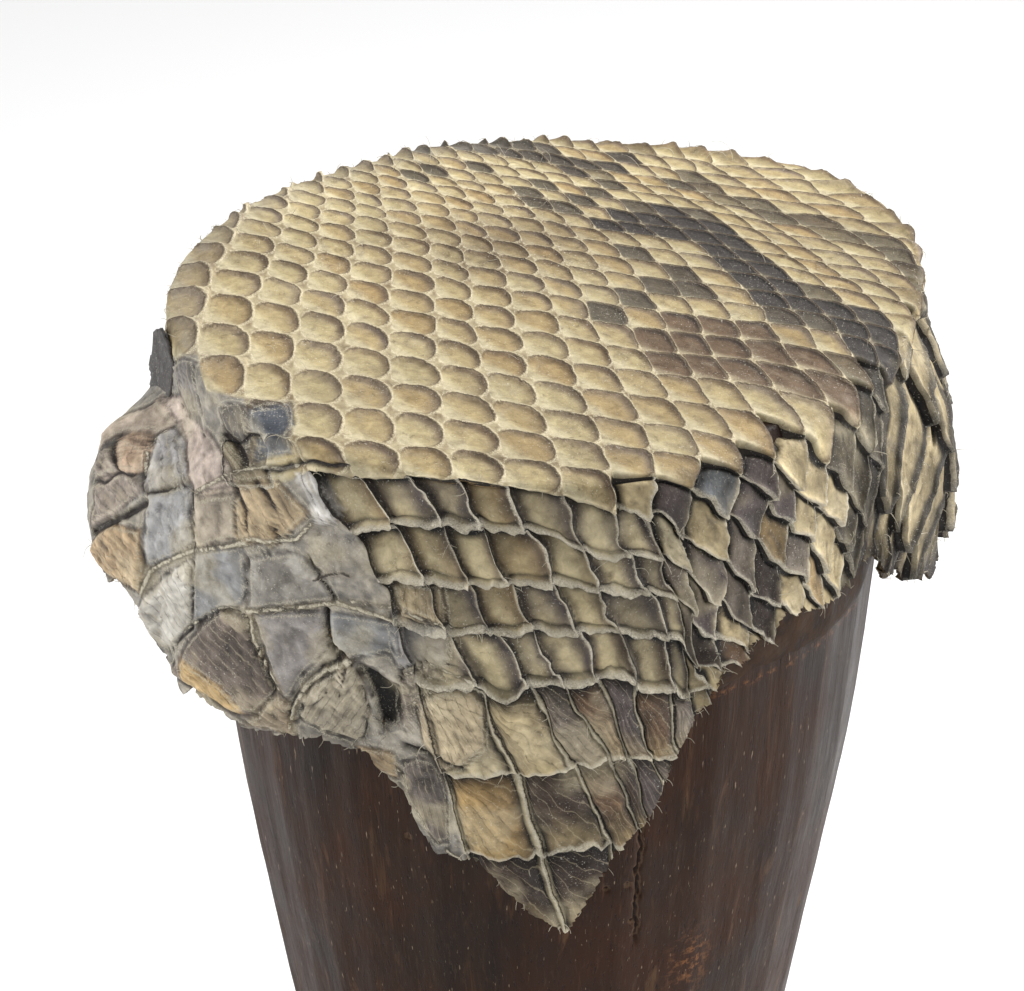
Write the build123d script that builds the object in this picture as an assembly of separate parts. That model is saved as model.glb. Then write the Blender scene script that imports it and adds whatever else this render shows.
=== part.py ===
from build123d import *
import math
import os

# Carved wooden goblet drum with a snakeskin head.
# Millimetres, +Z up. The origin is on the drum's axis, in the plane that its foot
# stands on. -Y is the front, where the longest flap of the skin hangs down.
# phi is the angle round the axis, from the front (-Y) towards +X.

# ---------------------------------------------------------------- dimensions
HEIGHT = 470.0            # foot to the top of the skin
SKIN_T = 1.6              # dry snakeskin, scales included
RIM_Z = HEIGHT - SKIN_T   # top of the wooden rim, which carries the skin
HEAD_FLAT_R = 88.0        # flat part of the head
GLUE_TOP = 12.0           # the glue line, measured down from the head
GLUE_BOTTOM = 74.0
GLUE_GAP = 0.35           # between the glue's outside and the skin's flesh side
PHI_STEP = 6.0            # largest step round the skin

# outside of the carved body: depth below the head, radius at the facet edges
BODY = [
    (1.6, 91.0), (2.5, 92.9), (4.0, 94.0), (7.0, 94.4), (25.0, 94.1), (40.0, 93.8),
    (60.0, 93.0), (80.0, 92.0), (100.0, 90.7), (120.0, 88.9), (140.0, 86.4),
    (160.0, 83.5), (180.0, 80.6), (200.0, 77.4), (220.0, 74.1), (240.0, 70.7),
    (260.0, 66.8), (280.0, 62.8), (297.0, 59.0), (313.0, 55.0), (328.0, 51.8),
    (343.0, 49.5), (357.0, 48.6), (372.0, 49.6), (388.0, 52.0), (405.0, 55.4),
    (422.0, 59.4), (440.0, 63.8), (455.0, 67.6), (465.0, 69.8), (468.6, 69.6),
    (470.0, 68.4),
]
# the adze left long facets: angle of each edge, and how far it stands from the mean
FACETS = [
    (-172, 1.000), (-155, 0.996), (-138, 1.002), (-121, 0.997), (-105, 1.001),
    (-89, 0.996), (-72, 1.000), (-54, 1.000), (-44.5, 1.002), (-34.5, 0.999),
    (-18, 0.997), (-2, 1.001), (14, 0.998), (30, 1.001), (46, 1.000), (54, 1.002),
    (67.5, 0.998), (84, 1.001), (100, 0.997), (117, 1.002), (134, 0.998),
    (151, 1.001), (169, 0.997),
]
# inside of the body: depth below the head, radius. Bowl, throat and foot bell.
BORE = [
    (1.6, 86.5), (2.6, 84.6), (5.0, 83.2), (10.0, 82.2), (40.0, 81.0), (80.0, 79.0),
    (120.0, 75.5), (160.0, 70.0), (200.0, 63.0), (235.0, 55.0), (265.0, 46.5),
    (290.0, 38.5), (315.0, 33.0), (340.0, 31.0), (370.0, 31.0), (395.0, 34.5),
    (420.0, 40.5), (445.0, 48.0), (466.0, 54.5), (470.0, 56.5),
]
# outside of the skin where it lies close to the wood: depth, radius
SKIN_CLOSE = [
    (8.0, 98.8), (25.0, 98.2), (50.0, 96.3), (75.0, 94.7), (100.0, 93.3),
    (125.0, 91.5), (150.0, 89.3),
]
# torn lower edge of the skin: angle, depth of the edge, how far it stands out there
HEM = [
    (-180, 62, 3), (-172, 71, 4), (-164, 82, 5), (-155, 79, 6), (-147, 70, 7),
    (-139, 66, 6), (-130, 58, 6), (-122, 52, 7), (-114, 50, 9), (-107, 47, 11),
    (-100, 46, 11), (-95, 47, 11), (-90, 54, 17), (-86, 62, 25), (-82, 70, 28),
    (-76, 75, 29), (-70, 77, 26), (-66, 73, 24), (-63, 74, 23), (-61, 87, 19.5),
    (-55, 86, 17), (-48.6, 88.7, 14), (-44, 87, 11.5), (-39, 89.2, 9), (-31.4, 87.7, 5),
    (-25.5, 95.7, 2.5), (-22.6, 100.4, 1.2), (-17.9, 118.7, 0.5), (-12, 120, 0.3),
    (-9.2, 122.5, 0.3), (-7.1, 126.4, 0.3), (-2, 136, 0.3), (4.1, 142.9, 0.3),
    (8, 131, 0.3), (12.6, 115.8, 0.3), (17.4, 107, 0.3), (22, 86, 0.5),
    (27.2, 73.7, 0.8), (32, 67, 0.8), (38.5, 61.4, 0.8), (41, 55, 1.0),
    (50.4, 57.5, 1.5), (55.5, 55.5, 2.5), (60, 50, 5), (66, 58, 8), (73, 69, 12),
    (78, 70, 15), (84, 66, 16.5), (90, 58, 14), (97, 56, 11), (105, 60, 8),
    (113, 57, 5), (121, 63, 4), (129, 72, 4), (137, 74, 5), (145, 66, 5),
    (154, 57, 4), (163, 54, 3), (171, 57, 3),
]
# a flap that stands out does so from just under the head: depth, share of its stand-off
STAND_OFF = [(8.0, 0.0), (16.0, 0.32), (25.0, 0.64), (35.0, 0.88), (48.0, 1.0), (150.0, 1.0)]
# rows of the skin's shape below the shoulder, as shares of the way to the torn edge
ROWS = [0.0, 0.12, 0.25, 0.4, 0.6, 0.8, 1.0]


# ------------------------------------------------------------------- helpers
def at(table, x, col=1):
    """Straight-line reading of a table whose first column rises."""
    if x <= table[0][0]:
        return table[0][col]
    for a, b in zip(table, table[1:]):
        if x <= b[0]:
            return a[col] + (b[col] - a[col]) * (x - a[0]) / (b[0] - a[0])
    return table[-1][col]


def point(phi, r, depth):
    a = math.radians(phi)
    return (r * math.sin(a), -r * math.cos(a), HEIGHT - depth)


def solid_of(rings, cap_start, cap_end):
    """Closed solid from rings of points, each ring the same length. Caps are flat
    faces over the first and last ring, or None where the rings close on themselves."""
    faces = []
    n = len(rings[0])
    for a, b in zip(rings, rings[1:]):
        for i in range(n):
            j = (i + 1) % n
            faces.append(Face(Wire.make_polygon([a[i], a[j], b[j]], close=True)))
            faces.append(Face(Wire.make_polygon([a[i], b[j], b[i]], close=True)))
    for ring, wanted in ((rings[0], cap_start), (rings[-1], cap_end)):
        if wanted:
            faces.append(Face(Wire.make_polygon(ring, close=True)))
    made = Solid(Shell(faces))
    return made if made.volume > 0 else Solid(made.wrapped.Reversed())


# --------------------------------------------------------------------- shell
# one carved log: flat adze facets outside, turned smooth inside
body_faces = []
rows = [[point(phi, r * k, depth) for phi, k in FACETS] for depth, r in BODY]
n = len(FACETS)
for a, b in zip(rows, rows[1:]):
    for i in range(n):
        j = (i + 1) % n
        body_faces.append(Face(Wire.make_polygon([a[i], a[j], b[j], b[i]], close=True)))
body_faces.append(Face(Wire.make_polygon(rows[0], close=True)))
body_faces.append(Face(Wire.make_polygon(rows[-1], close=True)))
body_outer = Solid(Shell(body_faces))

bore_line = [(0, HEIGHT - BORE[0][0] + 5)] + [(BORE[0][1], HEIGHT - BORE[0][0] + 5)]
bore_line += [(r, HEIGHT - depth) for depth, r in BORE]
bore_line += [(BORE[-1][1], -5), (0, -5)]
bore = revolve(Plane.XZ * make_face(Polyline(*bore_line, close=True)), Axis.Z)
shell = body_outer - bore

# ----------------------------------------------------------------- glue band
# resin between the skin and the wood, all round below the rim
glue_line = [(80, HEIGHT - GLUE_TOP)]
for depth in (GLUE_TOP, 25, 38, 50, 62, GLUE_BOTTOM):
    r = at(SKIN_CLOSE, depth) - SKIN_T - GLUE_GAP
    glue_line.append((r, HEIGHT - depth))
glue_line.append((80, HEIGHT - GLUE_BOTTOM))
glue_ring = revolve(Plane.XZ * make_face(Polyline(*glue_line, close=True)), Axis.Z)
glue_band = glue_ring - body_outer

# ----------------------------------------------------------------- head skin
# one sheet: the head, its rounded shoulder, and a skirt that hangs to a torn edge
angles = []
for (p0, *_), (p1, *_) in zip(HEM, HEM[1:] + [(HEM[0][0] + 360, 0, 0)]):
    steps = max(1, math.ceil((p1 - p0) / PHI_STEP))
    angles += [p0 + (p1 - p0) * k / steps for k in range(steps)]
HEM_ROUND = HEM + [(HEM[0][0] + 360, HEM[0][1], HEM[0][2])]

outer, inner = [], []
for r_out, d_out, r_in, d_in in (
    (HEAD_FLAT_R, 0.0, HEAD_FLAT_R, SKIN_T),
    (93.5, 0.35, 93.0, SKIN_T),
    (96.6, 1.7, 95.4, 2.9),
    (98.2, 4.2, 96.7, 4.8),
):
    outer.append([point(phi, r_out, d_out) for phi in angles])
    inner.append([point(phi, r_in, d_in) for phi in angles])
for share in ROWS:
    ring_o, ring_i = [], []
    for phi in angles:
        edge, off = at(HEM_ROUND, phi, 1), at(HEM_ROUND, phi, 2)
        depth = SKIN_CLOSE[0][0] + share * (edge - SKIN_CLOSE[0][0])
        r = at(SKIN_CLOSE, depth) + off * at(STAND_OFF, depth)
        ring_o.append(point(phi, r, depth))
        ring_i.append(point(phi, r - SKIN_T, depth))
    outer.append(ring_o)
    inner.append(ring_i)
head_skin = solid_of(outer + inner[::-1], True, True)

# --------------------------------------------------------------------- write
os.makedirs("parts", exist_ok=True)
for name, piece in (("shell", shell), ("glue_band", glue_band), ("head_skin", head_skin)):
    export_step(piece, f"parts/{name}.step")
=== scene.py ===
import bpy
import math
import numpy as np
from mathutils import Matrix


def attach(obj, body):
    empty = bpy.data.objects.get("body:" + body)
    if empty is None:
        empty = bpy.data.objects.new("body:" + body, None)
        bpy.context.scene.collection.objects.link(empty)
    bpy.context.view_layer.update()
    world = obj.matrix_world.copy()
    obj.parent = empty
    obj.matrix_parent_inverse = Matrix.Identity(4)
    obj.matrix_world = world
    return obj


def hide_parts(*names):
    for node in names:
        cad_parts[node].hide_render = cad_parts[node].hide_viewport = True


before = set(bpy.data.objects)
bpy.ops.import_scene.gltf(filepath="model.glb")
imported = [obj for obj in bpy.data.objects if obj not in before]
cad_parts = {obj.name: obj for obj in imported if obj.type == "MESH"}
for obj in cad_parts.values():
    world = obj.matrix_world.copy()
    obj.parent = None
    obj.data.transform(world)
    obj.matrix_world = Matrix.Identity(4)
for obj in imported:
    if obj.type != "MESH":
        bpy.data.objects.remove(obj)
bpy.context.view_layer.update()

# Carved wooden goblet drum with a dried snakeskin head. The tables are in millimetres:
# the origin is on the axis in the foot plane, the head is 470 above it, -Y is the front.
MM = 0.001
HEIGHT = 470.0
BODY = [
    (1.6, 91.0), (2.5, 92.9), (4.0, 94.0), (7.0, 94.4), (25.0, 94.1), (40.0, 93.8),
    (60.0, 93.0), (80.0, 92.0), (100.0, 90.7), (120.0, 88.9), (140.0, 86.4),
    (160.0, 83.5), (180.0, 80.6), (200.0, 77.4), (220.0, 74.1), (240.0, 70.7),
    (260.0, 66.8), (280.0, 62.8), (297.0, 59.0), (313.0, 55.0), (328.0, 51.8),
    (343.0, 49.5), (357.0, 48.6), (372.0, 49.6), (388.0, 52.0), (405.0, 55.4),
    (422.0, 59.4), (440.0, 63.8), (455.0, 67.6), (465.0, 69.8), (468.6, 69.6),
    (470.0, 68.4),
]
FACETS = [
    (-172, 1.000), (-155, 0.996), (-138, 1.002), (-121, 0.997), (-105, 1.001),
    (-89, 0.996), (-72, 1.000), (-54, 1.000), (-44.5, 1.002), (-34.5, 0.999),
    (-18, 0.997), (-2, 1.001), (14, 0.998), (30, 1.001), (46, 1.000), (54, 1.002),
    (67.5, 0.998), (84, 1.001), (100, 0.997), (117, 1.002), (134, 0.998),
    (151, 1.001), (169, 0.997),
]
BORE = [
    (1.6, 86.5), (2.6, 84.6), (5.0, 83.2), (10.0, 82.2), (40.0, 81.0), (80.0, 79.0),
    (120.0, 75.5), (160.0, 70.0), (200.0, 63.0), (235.0, 55.0), (265.0, 46.5),
    (290.0, 38.5), (315.0, 33.0), (340.0, 31.0), (370.0, 31.0), (395.0, 34.5),
    (420.0, 40.5), (445.0, 48.0), (466.0, 54.5), (470.0, 56.5),
]
SKIN_CLOSE = [
    (8.0, 98.8), (25.0, 98.2), (50.0, 96.3), (75.0, 94.7), (100.0, 93.3),
    (125.0, 91.5), (150.0, 89.3),
]
# torn edge of the skin: angle, depth, how far it stands out
HEM = [
    (-180, 62, 3), (-172, 71, 4), (-164, 82, 5), (-155, 79, 6), (-147, 70, 7),
    (-139, 66, 6), (-130, 58, 6), (-122, 52, 7), (-114, 50, 9), (-107, 47, 11),
    (-100, 46, 11), (-95, 47, 11), (-90, 54, 17), (-86, 62, 25), (-82, 70, 28),
    (-76, 75, 29), (-70, 77, 26), (-66, 73, 24), (-63, 74, 23), (-61, 87, 19.5),
    (-55, 86, 17), (-48.6, 88.7, 14), (-44, 87, 11.5), (-39, 89.2, 9), (-31.4, 87.7, 5),
    (-25.5, 95.7, 2.5), (-22.6, 100.4, 1.2), (-17.9, 118.7, 0.5), (-12, 120, 0.3),
    (-9.2, 122.5, 0.3), (-7.1, 126.4, 0.3), (-2, 136, 0.3), (4.1, 142.9, 0.3),
    (8, 131, 0.3), (12.6, 115.8, 0.3), (17.4, 107, 0.3), (22, 86, 0.5),
    (27.2, 73.7, 0.8), (32, 67, 0.8), (38.5, 61.4, 0.8), (41, 55, 1.0),
    (50.4, 57.5, 1.5), (55.5, 55.5, 2.5), (60, 50, 5), (66, 58, 8), (73, 69, 12),
    (78, 70, 15), (84, 66, 16.5), (90, 58, 14), (97, 56, 11), (105, 60, 8),
    (113, 57, 5), (121, 63, 4), (129, 72, 4), (137, 74, 5), (145, 66, 5),
    (154, 57, 4), (163, 54, 3), (171, 57, 3), (180, 62, 3),
]
STAND_OFF = [(8.0, 0.0), (16.0, 0.32), (25.0, 0.64), (35.0, 0.88), (48.0, 1.0), (150.0, 1.0)]
# the torn edge as it shows, angle and depth
EDGE = [
    (-180, 62), (-172, 71), (-164, 82), (-155, 79), (-147, 70), (-139, 66), (-130, 58), (-122, 52),
    (-114, 50), (-107, 47), (-100, 44), (-95, 44), (-90, 46), (-86, 50), (-82, 54), (-78, 58), (-75.2, 60.5),
    (-72.4, 64.5), (-69, 61), (-66.7, 62.1), (-63.2, 65.7), (-61.6, 73.7), (-60.2, 78.9), (-58.7, 85.3),
    (-56, 83), (-53.8, 84.5), (-48.7, 88.4), (-44.4, 89.7), (-39, 89.2), (-36, 86.5), (-31.4, 87.7), (-28, 89.5),
    (-26.3, 94.8), (-22.6, 99.6), (-21, 108), (-17.9, 118.7), (-12, 120), (-9.2, 122.5), (-7.1, 126.4),
    (-2, 136), (4.1, 142.9), (8, 131), (12.6, 115.8), (17.4, 107), (19.5, 97), (22, 86), (24, 79), (27.2, 73.7),
    (29, 66), (32, 67), (35, 60), (38.5, 61.4), (41, 55), (45, 56), (50.4, 57.5), (55.5, 55.5), (60, 50),
    (63, 60), (66, 58), (69, 66), (73, 69), (78, 70), (84, 66), (90, 58), (97, 56), (105, 60), (113, 57),
    (121, 63), (129, 72), (137, 74), (145, 66), (154, 57), (163, 54), (171, 57), (180, 62),
]
# on the left the skin lies close below the head and only then stands out
LEFT_STAND_OFF = [(8.0, 0.0), (17.0, 0.06), (24.0, 0.42), (31.0, 0.82), (42.0, 1.0), (150.0, 1.0)]
# how round the fold over the rim is, by angle
FOLD = [
    (-180, 2.6), (-60, 2.6), (-40, 3.2), (0, 3.6), (15, 5), (28, 7.5), (50, 9), (66, 7), (80, 3.5),
    (100, 2.8), (180, 2.6),
]
# how much wider than the rim the skin's edge stands, as a share
WIDER = [
    (-180, 0.032), (-172, 0.022), (-160, 0.036), (-152, 0.012), (-144, 0.01), (-128, 0.022), (-115, 0.028),
    (-90, 0.026), (-78, 0.012), (-66, 0.0), (70, 0.0), (84, 0.015), (92, 0.036), (102, 0.068), (111, 0.115),
    (120, 0.148), (131, 0.155), (139, 0.128), (147, 0.088), (154, 0.08), (162, 0.05), (171, 0.026), (180, 0.032),
]

# Scale lattice. Corner (a, b) of the scale rows lies at (U, V) of the flattened skin:
# a counts columns to the right, b counts rows to the front. U, V are millimetres from
# the middle of the head, and run on down the skirt as 100 + depth.
CORNERS = [
    (1,-3,-82.6,38.4),(1,-1,-86.5,17),(1,1,-88.9,-12.3),(2,-6,-69.8,58.6),(2,-4,-71.5,42.5),(2,-3,-72.6,33.5),
    (2,0,-76.2,-0.7),(2,2,-76.7,-34.3),(3,-7,-61,61.6),(3,3,-63.8,-57),(4,-9,-53.8,72.1),(4,-8,-52.8,64.9),
    (4,-6,-51.6,49.6),(4,-3,-51.4,22.9),(4,0,-52.1,-12),(4,3,-51.2,-59.7),(5,-9,-45.4,68.4),(5,3,-38.2,-62.4),
    (6,-10,-38.8,72.3),(6,-9,-36.9,65.2),(6,-6,-32.5,41.6),(6,-3,-29.9,12.8),(6,0,-28,-22.8),(6,3,-25.1,-65.8),
    (7,-11,-32.8,76.3),(8,-12,-27.5,80.5),(8,-9,-20.1,59.6),(8,-6,-13.8,34.7),(8,-3,-9.1,4.1),(8,0,-4.7,-32.1),
    (8,3,1.4,-74.2),(9,-13,-22.6,84.6),(9,3,14.6,-78.9),(10,-14,-18.2,88.8),(10,-12,-12.3,76.2),
    (10,-9,-3.6,54.7),(10,-6,4.4,28.7),(10,-3,11.1,-2.9),(10,0,18.1,-39.6),(11,-13,-7.9,80.6),(12,-15,-7,91.1),
    (12,-14,-3.8,85),(12,-12,2.7,72.1),(12,-9,12.7,49.9),(12,-6,22.3,23.3),(12,-3,30.9,-8.1),(12,0,40,-45),
    (13,-15,0.1,89.2),(13,1,53.6,-61.3),(14,-15,7.2,87.3),(14,-14,10.6,81),(14,-12,17.8,67.6),(14,-9,29.2,44.7),
    (14,-6,40.5,18.3),(14,-3,50.6,-12.2),(14,0,60,-49.4),(15,-15,14.4,85.2),(15,-1,66.3,-38.5),
    (16,-16,18.1,89.2),(16,-15,21.6,82.9),(16,-14,25.4,76.4),(16,-12,33.4,62.3),(16,-9,46.3,39),(16,-6,59,13.1),
    (16,-3,69.6,-17),(16,-2,72.5,-28.8),(17,-15,29,80.4),(17,-5,72,0.6),(17,-3,78.4,-20.6),(18,-16,32.6,84.2),
    (18,-15,36.5,77.6),(18,-14,40.7,70.7),(18,-12,49.7,56.1),(18,-9,63.9,32.6),(18,-6,77.1,6.6),
    (19,-15,44.1,74.5),(19,-13,53.2,60.2),(19,-7,81.6,11.8),(20,-16,47.5,78.1),(20,-15,51.8,71.2),
    (20,-14,56.4,64.1),(20,-12,66.2,49.2),(20,-10,76.2,33.5),(20,-9,81,25.2),(20,-8,85.5,16.6),
    (21,-15,59.5,67.7),(21,-13,69.2,53.1),(21,-11,79.3,37.7),(21,-9,88.9,21),(22,-14,72,56.9),(22,-12,82,41.7),
    (4,5,-49.9,-91.8),(5,5,-34.2,-94),(6,5,-21.4,-96.7),(7,5,-8.7,-99.6),(8,5,5.4,-103.4),(9,5,18.8,-106.4),
    (3,6,-58.2,-105),(4,6,-46.1,-105.9),(5,6,-31.6,-110.1),(6,6,-17.8,-112.6),(7,6,-6,-114.8),(8,6,10.3,-117.6),
    (9,6,24.2,-119.1),(2,7,-66,-116.6),(3,7,-56,-120.1),(4,7,-41.2,-123.3),(5,7,-24.3,-127.2),(6,7,-9,-128.7),
    (7,7,2.3,-130),(8,7,18.2,-129.7),(9,7,37.1,-129.3),(2,8,-76.8,-123),(3,8,-56.4,-134.1),(4,8,-35.4,-142.1),
    (5,8,-19,-144.3),(6,8,-3.8,-144),(7,8,11.3,-144.1),(8,8,30.5,-143.3),(9,8,48.3,-140.4),(2,9,-81.5,-138.3),
    (3,9,-56.9,-153.8),(4,9,-30,-161.7),(5,9,-2.3,-164),(6,9,9.8,-160.7),(7,9,22.1,-157.5),(8,9,42.9,-154.7),
    (9,9,58.4,-152.2),(10.5,4.5,36.1,-101.8),(11.5,3.5,47.7,-93.6),(12.5,2.5,58,-87.6),(13.5,1.5,69.5,-80),
    (11.5,4.5,48.5,-106.5),(12.5,3.5,61.7,-100.6),(13.5,2.5,70.6,-92),(14.5,1.5,79.9,-82.7),
    (10.5,5.5,38.4,-111.6),(11.5,5.5,54.3,-119.2),(12.5,4.5,63.5,-110),(13.5,3.5,76.1,-102.9),
    (14.5,2.5,83,-92.1),(10.5,6.5,47,-124.4),(11.5,6.5,58.8,-130.3),(12.5,5.5,71.6,-121.5),(13.5,4.5,81.3,-114),
    (14.5,3.5,85.1,-102.2),(15.5,2.5,98.7,-92.1),(15.5,1.5,93.5,-79.9),(12.5,6.5,75.3,-133.2),
    (13.5,5.5,88.8,-124.6),(14.5,4.5,95.1,-109.4),(15.5,3.5,106.5,-102.8),(11.5,7.5,64.3,-144.3),
    (16.5,2.5,113.5,-91.9),(16.5,1.5,108.4,-78.8),(15.5,0.5,88.3,-69),(16.5,0.5,102.8,-69.3),
    (5,9.35,-2.4,-169.5),(6,9.35,14.7,-167.9),(7,9.35,29.4,-166.9),(8,9.35,42.9,-166),(9,9.35,55.4,-165.5),
    (2.3,10,-72.3,-174.6),(3,10,-52.8,-184.1),(4,10,-14.9,-189.4),(5,10,16.4,-187.3),(7,10,43.7,-181.8),
    (9,10,69.3,-175.8),(3,11,-52.9,-212),(4,11,-3.8,-218),(5,11,45.5,-208.6),(7,11,69.3,-201.4),
    (7,10.6,61.3,-194.6),(4,12,16,-241.5),(3,12,-25.2,-239.7),(5,12,57.8,-231.9),(2,11,-81.3,-201.2),
    (2,12,-70.2,-229.5),(0,10,-155.5,-130.5),(0,11,-171.6,-144),(1,10,-131.9,-151.7),(9,11,96.2,-188.9),
    (11,10,89.2,-160.9),(11,9,74.5,-152.8),(13,8,98.7,-135.9),(2.58,3.65,-68.6,-68.6),(1.71,3.16,-80.3,-56.2),
    (1.12,2.51,-87.9,-41),(0.6,1.78,-94.7,-25.4),(-0.01,2.01,-104.3,-28),(0.34,0.89,-97.6,-8.5),
    (-0.8,1.17,-115.6,-10.1),(-2.33,1.54,-139.5,-12.2),(-4.23,2.01,-169.4,-14.8),(3,5,-62.9,-86.6),
    (2,5,-76.4,-81.9),(1,5,-89.6,-75.2),(0,5,-100.6,-65.4),(-1,5,-112.4,-52.4),(2,6,-70.8,-99.3),
    (1,6,-87.3,-93.6),(0,6,-104.6,-78.8),(-1,6,-120.3,-61.3),(1,7,-88.7,-105.7),(0,7,-112.7,-88),
    (-1,7,-131,-66.7),(1,8,-106.1,-106.1),(0,8,-118.1,-97.3),(-1,8,-142.2,-75.6),(1,9,-120.7,-138.9),
    (0,9,-160.2,-92.5),(-1,9,-165.4,-60.2),(-3,5,-134.5,-42.4),(-3,6,-142.3,-50.4),(-3,7,-150.3,-57.7),
    (-3,8,-159.5,-64.4),(13.7,-16.58,-0,98),(15.18,-19.81,-0,116),(17.14,-24.12,-0,140),(20,-30.41,-0,175),
    (9.25,-14.61,-25.4,94.7),(9.68,-17.36,-30,112),(10.25,-21.02,-36.2,135.2),(11.08,-26.37,-45.3,169),
    (5.07,-11.36,-49,84.9),(4.42,-13.22,-58,100.5),(3.56,-15.7,-70,121.2),(2.31,-19.31,-87.5,151.6),
    (2.09,-7.46,-69.3,69.3),(0.72,-8.29,-82,82),(-1.1,-9.39,-99,99),(-3.75,-10.99,-123.7,123.7),
    (0.63,-3.96,-84.9,49),(-0.94,-4.07,-100.5,58),(-3.03,-4.21,-121.2,70),(-6.09,-4.41,-151.6,87.5),
    (0.21,-1.39,-94.7,25.4),(-1.29,-1.19,-112,30),(-3.3,-0.91,-135.2,36.2),(-6.21,-0.51,-169,45.3),
    (17.88,-1.72,89.5,-39.9),(19.75,-1.73,106,-47.2),(22.24,-1.74,127.9,-56.9),(25.86,-1.76,159.9,-71.2),
    (19.36,-3.94,95.9,-20.4),(21.56,-4.47,113.5,-24.1),(24.5,-5.18,136.9,-29.1),(28.78,-6.21,171.2,-36.4),
    (20.63,-6.48,98,-0),(23.16,-7.58,116,-0),(26.54,-9.06,140,-0),(31.46,-11.22,175,-0),(22.09,-9.96,94.7,25.4),
    (25.11,-11.87,112,30),(29.13,-14.41,135.2,36.2),(35,-18.12,169,45.3),(23.03,-13.36,84.9,49),
    (26.46,-16.06,100.5,58),(31.03,-19.67,121.2,70),(37.7,-24.92,151.6,87.5),(22.7,-15.93,69.3,69.3),
    (26.15,-19.19,82,82),(30.74,-23.55,99,99),(37.45,-29.9,123.7,123.7),(20.8,-17.2,49,84.9),
    (23.81,-20.65,58,100.5),(27.81,-25.25,70,121.2),(33.65,-31.95,87.5,151.6),(17.64,-17.31,25.4,94.7),
    (19.93,-20.67,30,112),(22.98,-25.16,36.2,135.2),(27.44,-31.7,45.3,169),
]


def table(rows, x, col=1):
    r = np.array(rows, float)
    return np.interp(x, r[:, 0], r[:, col])


def smooth(x, lo, hi):
    t = np.clip((x - lo) / (hi - lo), 0, 1)
    return t * t * (3 - 2 * t)


def srgb(r, g, b):
    v = np.array([r, g, b], float) / 255
    return np.where(v <= 0.04045, v / 12.92, ((v + 0.055) / 1.055) ** 2.4)


# ------------------------------------------------------------ smooth random fields
def lattice_noise(seed, size=64):
    return np.random.default_rng(seed).random((size, size, size)).astype(np.float32)


_FIELDS = {}


def noise3(p, scale, seed=1):
    """Smooth value noise from 0 to 1 at points p, with features about `scale` mm across."""
    if seed not in _FIELDS:
        _FIELDS[seed] = lattice_noise(seed)
    f = _FIELDS[seed]
    q = np.asarray(p, float) / scale + 1000.0
    i = np.floor(q).astype(int)
    t = q - i
    t = t * t * (3 - 2 * t)
    i0, i1 = i % 64, (i + 1) % 64
    out = 0
    for cx in (0, 1):
        for cy in (0, 1):
            for cz in (0, 1):
                w = (t[..., 0] if cx else 1 - t[..., 0]) * (t[..., 1] if cy else 1 - t[..., 1]) * (t[..., 2] if cz else 1 - t[..., 2])
                out = out + w * f[(i1 if cx else i0)[..., 0], (i1 if cy else i0)[..., 1], (i1 if cz else i0)[..., 2]]
    return out


def fbm(p, scale, seed=1, octaves=3):
    total, amp, norm = 0, 1.0, 0
    for k in range(octaves):
        total = total + amp * noise3(p, scale / 2 ** k, seed + k)
        norm += amp
        amp *= 0.5
    return total / norm


# ------------------------------------------------------------ mesh and material helpers
def mesh_object(name, verts, faces, smooth_faces=True):
    verts = np.asarray(verts, np.float32)
    faces = np.asarray(faces, np.int32)
    me = bpy.data.meshes.new(name)
    n, k = faces.shape
    me.vertices.add(len(verts))
    me.vertices.foreach_set("co", verts.ravel())
    me.loops.add(n * k)
    me.loops.foreach_set("vertex_index", faces.ravel())
    me.polygons.add(n)
    me.polygons.foreach_set("loop_start", np.arange(0, n * k, k, dtype=np.int32))
    me.polygons.foreach_set("use_smooth", np.full(n, smooth_faces))
    me.update(calc_edges=True)
    me.validate()
    ob = bpy.data.objects.new(name, me)
    bpy.context.scene.collection.objects.link(ob)
    return ob


def paint(ob, name, colours):
    attribute = ob.data.color_attributes.new(name, "FLOAT_COLOR", "POINT")
    rgba = np.ones((len(ob.data.vertices), 4), np.float32)
    rgba[:, :colours.shape[1]] = colours
    attribute.data.foreach_set("color", rgba.ravel())


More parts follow.
